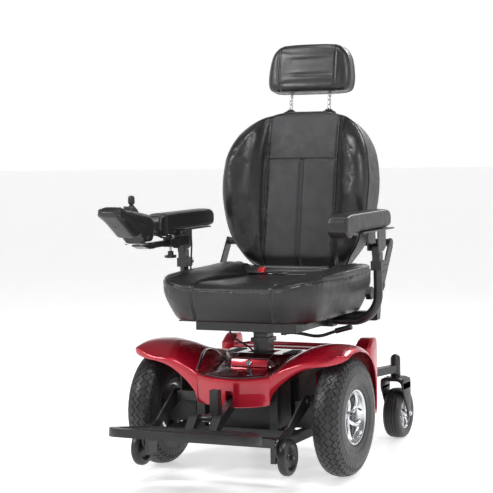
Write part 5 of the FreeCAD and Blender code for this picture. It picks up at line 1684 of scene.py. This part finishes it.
def star_knob(name, centre, axis, radius, thick, lobes=7):
    """A lobed hand knob on a short hub."""
    rings = []
    for along, size in ((0, 0.45), (0, 0.9), (0.12, 1.0), (0.72, 1.0), (0.9, 0.9), (1.0, 0.55),
                        (0.94, 0.3)):
        ring = []
        for a in circle(84):
            r = radius * size * (1 + (0.09 * math.cos(lobes * a) if size > 0.6 else 0))
            out = {"Y": (r * math.cos(a), along * thick, r * math.sin(a)),
                   "Z": (r * math.cos(a), r * math.sin(a), -along * thick)}[axis]
            ring.append([c + o for c, o in zip(centre, out)])
        rings.append(ring)
    return loft(name, rings, 30)


def knobs():
    """The lobed knobs that clamp the arm tubes, and the one under the controller's rail."""
    low, high = ([c / MM for c in corner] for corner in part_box("arm_knobs"))
    middle_z = (low[2] + high[2]) / 2
    parts = []
    for side, sign in SIDES:
        parts.append(star_knob(f"arm_knob_{side}", (sign * 300, high[1] - 13, middle_z), "Y",
                               14.5, 13))
        parts.append(capped_lathe(f"arm_knob_stem_{side}", [
            (low[1], 0), (low[1], 6), (high[1] - 12, 7), (high[1] - 12, 0)],
            (sign * 300, 0, middle_z), 24, 30, "Y"))
    unite("arm_knobs_lobed", "seat", "arm_knobs", "black_plastic", parts)
    body = [star_knob("slide_knob_head", (-272, -39, 580), "Z", 16, 8.5),
            capped_lathe("slide_knob_neck", [(578, 0), (578, 9.5), (584, 8.4), (590, 8.4),
                                             (591.5, 7), (591.5, 0)], (-272, -39, 0), 32, 30, "Z")]
    screw = capped_lathe("slide_knob_screw", [(590, 0), (590, 3.4), (603.6, 3.4), (603.6, 0)],
                         (-272, -39, 0), 20, 30, "Z")
    unite("slide_knob_lobed", "armrest_right", "slide_knob", "black_plastic",
          body, [paint_with(screw, "chrome")])


knobs()


def cable_connectors():
    """The two halves of the inline connector between the controller's and the seat's cables."""
    shells = [lathe(f"connector_{n}", profile, (-250, 0, 634), 32, 30, "Y") for n, profile in
              enumerate((
                  [(-98, 2.7), (-97, 4.6), (-92, 6.0), (-84, 6.4), (-83.4, 7), (-80.6, 7),
                   (-80.6, 2.7)],
                  [(-80.2, 2.7), (-80.2, 6.8), (-73, 6.8), (-72.6, 6.1), (-68, 5.8), (-63.4, 4.4),
                   (-62.2, 2.7)]))]
    paint_with(shells[0], "black_plastic")
    paint_with(shells[1], "grey_plastic")
    ribs = []
    for n, a in enumerate(circle(10)):
        at = (-250 + 6.5 * math.cos(a), 634 + 6.5 * math.sin(a))
        ribs.append(paint_with(slab(f"connector_rib_{n}", (at[0] - 0.7, -92, at[1] - 0.7),
                                    (at[0] + 0.7, -84.5, at[1] + 0.7), 0.3), "black_plastic"))
    dress(joined("cable_plug_halves", [*shells, *ribs]), "armrest_right", None, "cable_plug")


cable_connectors()

POD_X = -275
PANEL_NORMAL = Vector((0, 0.17715, 0.98418))
PANEL_ALONG = Vector((0, -0.98418, 0.17715))


def pod_top(y):
    """Height of the controller's sloping top."""
    return 740 - 0.18 * (y + 398)


def collar_rings(middle, out, side, up, profile, steps):
    """Rings square to a direction; profile is (along, radius)."""
    return [[middle + out * along + side * r * math.cos(a) + up * r * math.sin(a)
             for a in circle(steps)] for along, r in profile]


def pod():
    """A fat wedge with a rounded nose, a parting line and a charger socket."""
    corners = [(-180, pod_top(-180), 9), (-398, 738, 15), (-398, 719, 12), (-262, 628, 26),
               (-212, 622, 18), (-173, 636, 14)]
    obj = moulded(pillow("controller_pod", rounded_outline(corners, 10), POD_X, 35, 17,
                         (-270, 685), 9), 3.0, 8)

    def depth(p):
        x, y, z = p[:, 0], p[:, 1], p[:, 2]
        parting = valley(z - (pod_top(y) - 17 - 0.10 * (y + 398)), 1.3, 1.5)
        panel = np.maximum(np.abs(x - POD_X) - 25, np.abs(y + 268) - 92)
        return parting + valley(panel, 1.6, 1.2) * (z > pod_top(y) - 4)

    sink(obj, depth)
    nose_out = Vector((0, -0.571, -0.821))
    side_way = Vector((1, 0, 0))
    up_way = nose_out.cross(side_way)
    middle = Vector((POD_X, -340, 681.9))

    def stack(name, at, profile, steps):
        return loft(name, collar_rings(at, nose_out, side_way, up_way, profile, steps), 30)

    collar = stack("socket_collar", middle, [(-3, 11.5), (0.6, 11.5), (1.8, 10.6), (1.8, 9.2),
                                             (0.4, 8.6), (-1.4, 8.4), (-1.4, 0.6)], 40)
    core = stack("socket_core", middle, [(-2, 8.3), (-0.9, 8.3), (-0.9, 7.4), (-1.1, 0.6)], 40)
    bright = []
    for turn in (90, 210, 330):
        a = math.radians(turn)
        at = middle + side_way * 4 * math.cos(a) + up_way * 4 * math.sin(a)
        bright.append(stack(f"socket_pin_{turn}", at, [(-1.2, 1.1), (0.6, 1.1), (1.0, 0.6)], 12))
    for x in (-23.4, 23.4):
        bright.append(capped_lathe(f"pod_screw_{x}", [
            (1.5, 0), (1.5, 3.6), (-1.4, 3.6), (-1.8, 2.8), (-1.8, 0)],
            (POD_X + x, -246, 624.5), 20, 30, "Z"))
    unite("controller_pod_shell", "controller", "controller_housing",
          "black_plastic", [obj, collar, core], [paint_with(part, "chrome") for part in bright])


pod()

def on_panel(x, y, above=0.0):
    """A place on the controller's top, or above it."""
    return Vector((x, y, pod_top(y))) + PANEL_NORMAL * above


def panel_disc(name, place, profile, steps=40, ripple=0.0):
    """Rings square to the pod's top, rippled 18 times round; profile is (height, radius)."""
    rings = []
    for above, r in profile:
        ring = []
        for a in circle(steps):
            size = r * (1 + ripple * math.cos(18 * a))
            ring.append(place + PANEL_NORMAL * above + Vector((size * math.cos(a), 0, 0))
                        + PANEL_ALONG * size * math.sin(a))
        rings.append(ring)
    return loft(name, rings, 30)


def panel_parts():
    """The joystick with its boot, the speed dial, the power button and the lamps."""
    stick_base = Vector((POD_X, -253, pod_top(-253)))
    boot = [(-3, 17.5), (0.8, 18.5), (2.4, 17.6), (3.0, 15.8), (4.2, 16.4), (6.0, 16.2),
            (7.4, 14.4), (8.0, 13.0), (9.2, 13.2), (11.0, 12.0), (12.6, 9.8), (13.0, 8.8),
            (15.0, 8.4), (17.0, 6.6), (19, 5.2), (20, 5.0)]
    rings = [[stick_base + Vector((r * math.cos(a), r * math.sin(a), z)) for a in circle(48)]
             for z, r in boot]
    parts = [loft("stick_boot", rings, 35)]
    grip = [(19, 4.6), (20.5, 7.4), (22.5, 8.8), (26, 9.2), (33, 9.0), (38.5, 8.6), (41.8, 7.2),
            (43.4, 4.6), (44, 1.0)]
    rings = []
    for z, r in grip:
        ring = []
        for a in circle(60):
            size = r * (1 + (0.025 * math.cos(10 * a) if 24 < z < 40 else 0))
            ring.append(stick_base + Vector((size * math.cos(a), size * math.sin(a), z)))
        rings.append(ring)
    parts.append(loft("stick_grip", rings, 40))
    unite("joystick_grip_boot", "joystick_stick", "joystick", "stick_rubber",
          parts)

    dial = panel_disc("speed_dial_knurled", on_panel(POD_X + 16, -310), [
        (-2, 4), (-2, 8.6), (0.6, 8.8), (1.2, 8.2), (5.4, 7.8), (6.4, 7.0), (6.6, 5.6),
        (6.0, 5.0), (6.0, 0.5)], 72, 0.02)
    pointer = slab("dial_pointer", (-0.5, -3, 0), (0.5, 3, 0.5), 0.15)
    turn = Matrix((Vector((1, 0, 0)), PANEL_ALONG, -PANEL_NORMAL)).transposed().to_4x4()
    spot = on_panel(POD_X + 16, -313, 6.8) * MM
    pointer.data.transform(Matrix.Translation(spot) @ turn)
    unite("speed_dial_pointer", "speed_knob", "speed_dial", "black_plastic",
          [dial], [paint_with(pointer, "grey_plastic")])

    button = panel_disc("power_button_cap", on_panel(POD_X - 16, -310), [
        (-3, 5.6), (1.0, 5.6), (1.9, 5.0), (2.0, 3.6), (1.5, 2.6), (1.4, 0.4)])
    dress(button, "power_switch", "release_red", "power_button")

    lamps = []
    for number in range(5):
        x = POD_X - 14 + number * 7
        lamps.append(paint_with(panel_disc(f"lamp_{number}", on_panel(x, -340), [
            (-2, 2.2), (0.5, 2.2), (1.0, 1.8), (1.25, 1.0), (1.3, 0.3)], 24), "lamp_green"))
        lamps.append(paint_with(panel_disc(f"lamp_ring_{number}", on_panel(x, -340), [
            (-2, 3.0), (0.3, 3.0), (0.55, 2.8), (0.55, 2.2), (-2, 2.2)], 24), "black_plastic"))
    dress(joined("controller_lamps", lamps), "controller", None)


panel_parts()


# ---------------------------------------------------------------- seat belt
def strap(name, path, wide, thick, across):
    """A flat web along a path; across is its width's direction."""
    line = smooth_path(path, per_span=6)
    rings = []
    across = Vector(across)
    for n, place in enumerate(line):
        ahead = (line[min(n + 1, len(line) - 1)] - line[max(0, n - 1)]).normalized()
        side = (across - ahead * across.dot(ahead)).normalized()
        up = ahead.cross(side)
        rings.append([place + side * a * wide / 2 + up * b * thick / 2 for a, b in (
            (-1, -0.35), (-0.96, -1), (-0.5, -0.9), (0, -1), (0.5, -0.9), (0.96, -1), (1, -0.35),
            (1, 0.35), (0.96, 1), (0.5, 0.9), (0, 1), (-0.5, 0.9), (-0.96, 1), (-1, 0.35))])
    return paint_with(loft(name, rings, 40), "webbing")


def seat_belt():
    """Webbing that comes out of the crease behind the cushion, the tongue and its stitching."""
    parts = [strap(f"strap_{side}", [(sign * 128, y, z) for y, z in (
        (222, 409), (222, 470), (221, 500), (213, 514), (198, 516), (182, 512.6))], 38, 1.8,
        (1, 0, 0)) for side, sign in SIDES]
    parts.append(strap("strap_across", [
        (146, 176, 512), (110, 175, 511.6), (60, 174, 512.2), (10, 175, 512.0), (-34, 175, 512.6)],
        29, 1.8, (0, 1, 0)))
    parts.append(strap("strap_keeper", [(-30, 175, 513.8), (-8, 175, 514.0)], 31, 2.2, (0, 1, 0)))
    tongue = paint_with(slab("tongue_plate", (-66, 163, 512.4), (-38, 187, 514.6), 0.8, 3),
                        "chrome")
    grip = paint_with(slab("tongue_grip", (-44, 160, 509.8), (-30, 190, 517.4), 1.8, 3),
                      "black_plastic")
    dress(joined("seat_belt_webbing", [*parts, tongue, grip]), "seat", None, "seat_belt")

    body = prism("buckle_body", [
        (-145, 159), (-141, 156.8), (-84, 156.8), (-79, 160), (-79, 182.6), (-84, 185.8),
        (-141, 185.8), (-145, 183.6)], "Z", 511, 526.4, 2.2, 4, 25)
    paint_with(body, "black_plastic")
    mouth = slab("buckle_mouth", (-80.4, 160, 512.6), (-78.8, 182.6, 516.2), 0.4)
    paint_with(mouth, "cable_black")
    ribs = [paint_with(slab("buckle_rib", (x, 161, 525.6), (x + 1.8, 181.6, 527), 0.6),
                       "black_plastic") for x in (-138 + number * 4.2 for number in range(4))]
    buckle = joined("belt_buckle_case", [body, mouth, *ribs])
    cap = prism("belt_button_cap", [(516.8, -98), (525.8, -98), (527.2, -92), (526.4, -76),
                                    (524.6, -74.6), (518, -74.9), (516.8, -76)], "Y", 160.4, 182.2)
    cap.data.transform(Matrix(((0, 0, 1, 0), (0, 1, 0, 0), (1, 0, 0, 0), (0, 0, 0, 1))))
    bevelled(outward(cap), 1.0, 3, 25)
    paint_with(cap, "release_red")
    tilt = Matrix.Translation((0, 0.1713, 0.5184)) @ Matrix.Rotation(math.radians(38), 4, "X") \
        @ Matrix.Translation((0, -0.1713, -0.5184))
    for piece in (buckle, cap):
        piece.data.transform(tilt)
    dress(buckle, "seat", None, "belt_buckle")
    dress(cap, "belt_release", None, "belt_button")


seat_belt()

bpy.context.scene.view_settings.view_transform = "Standard"
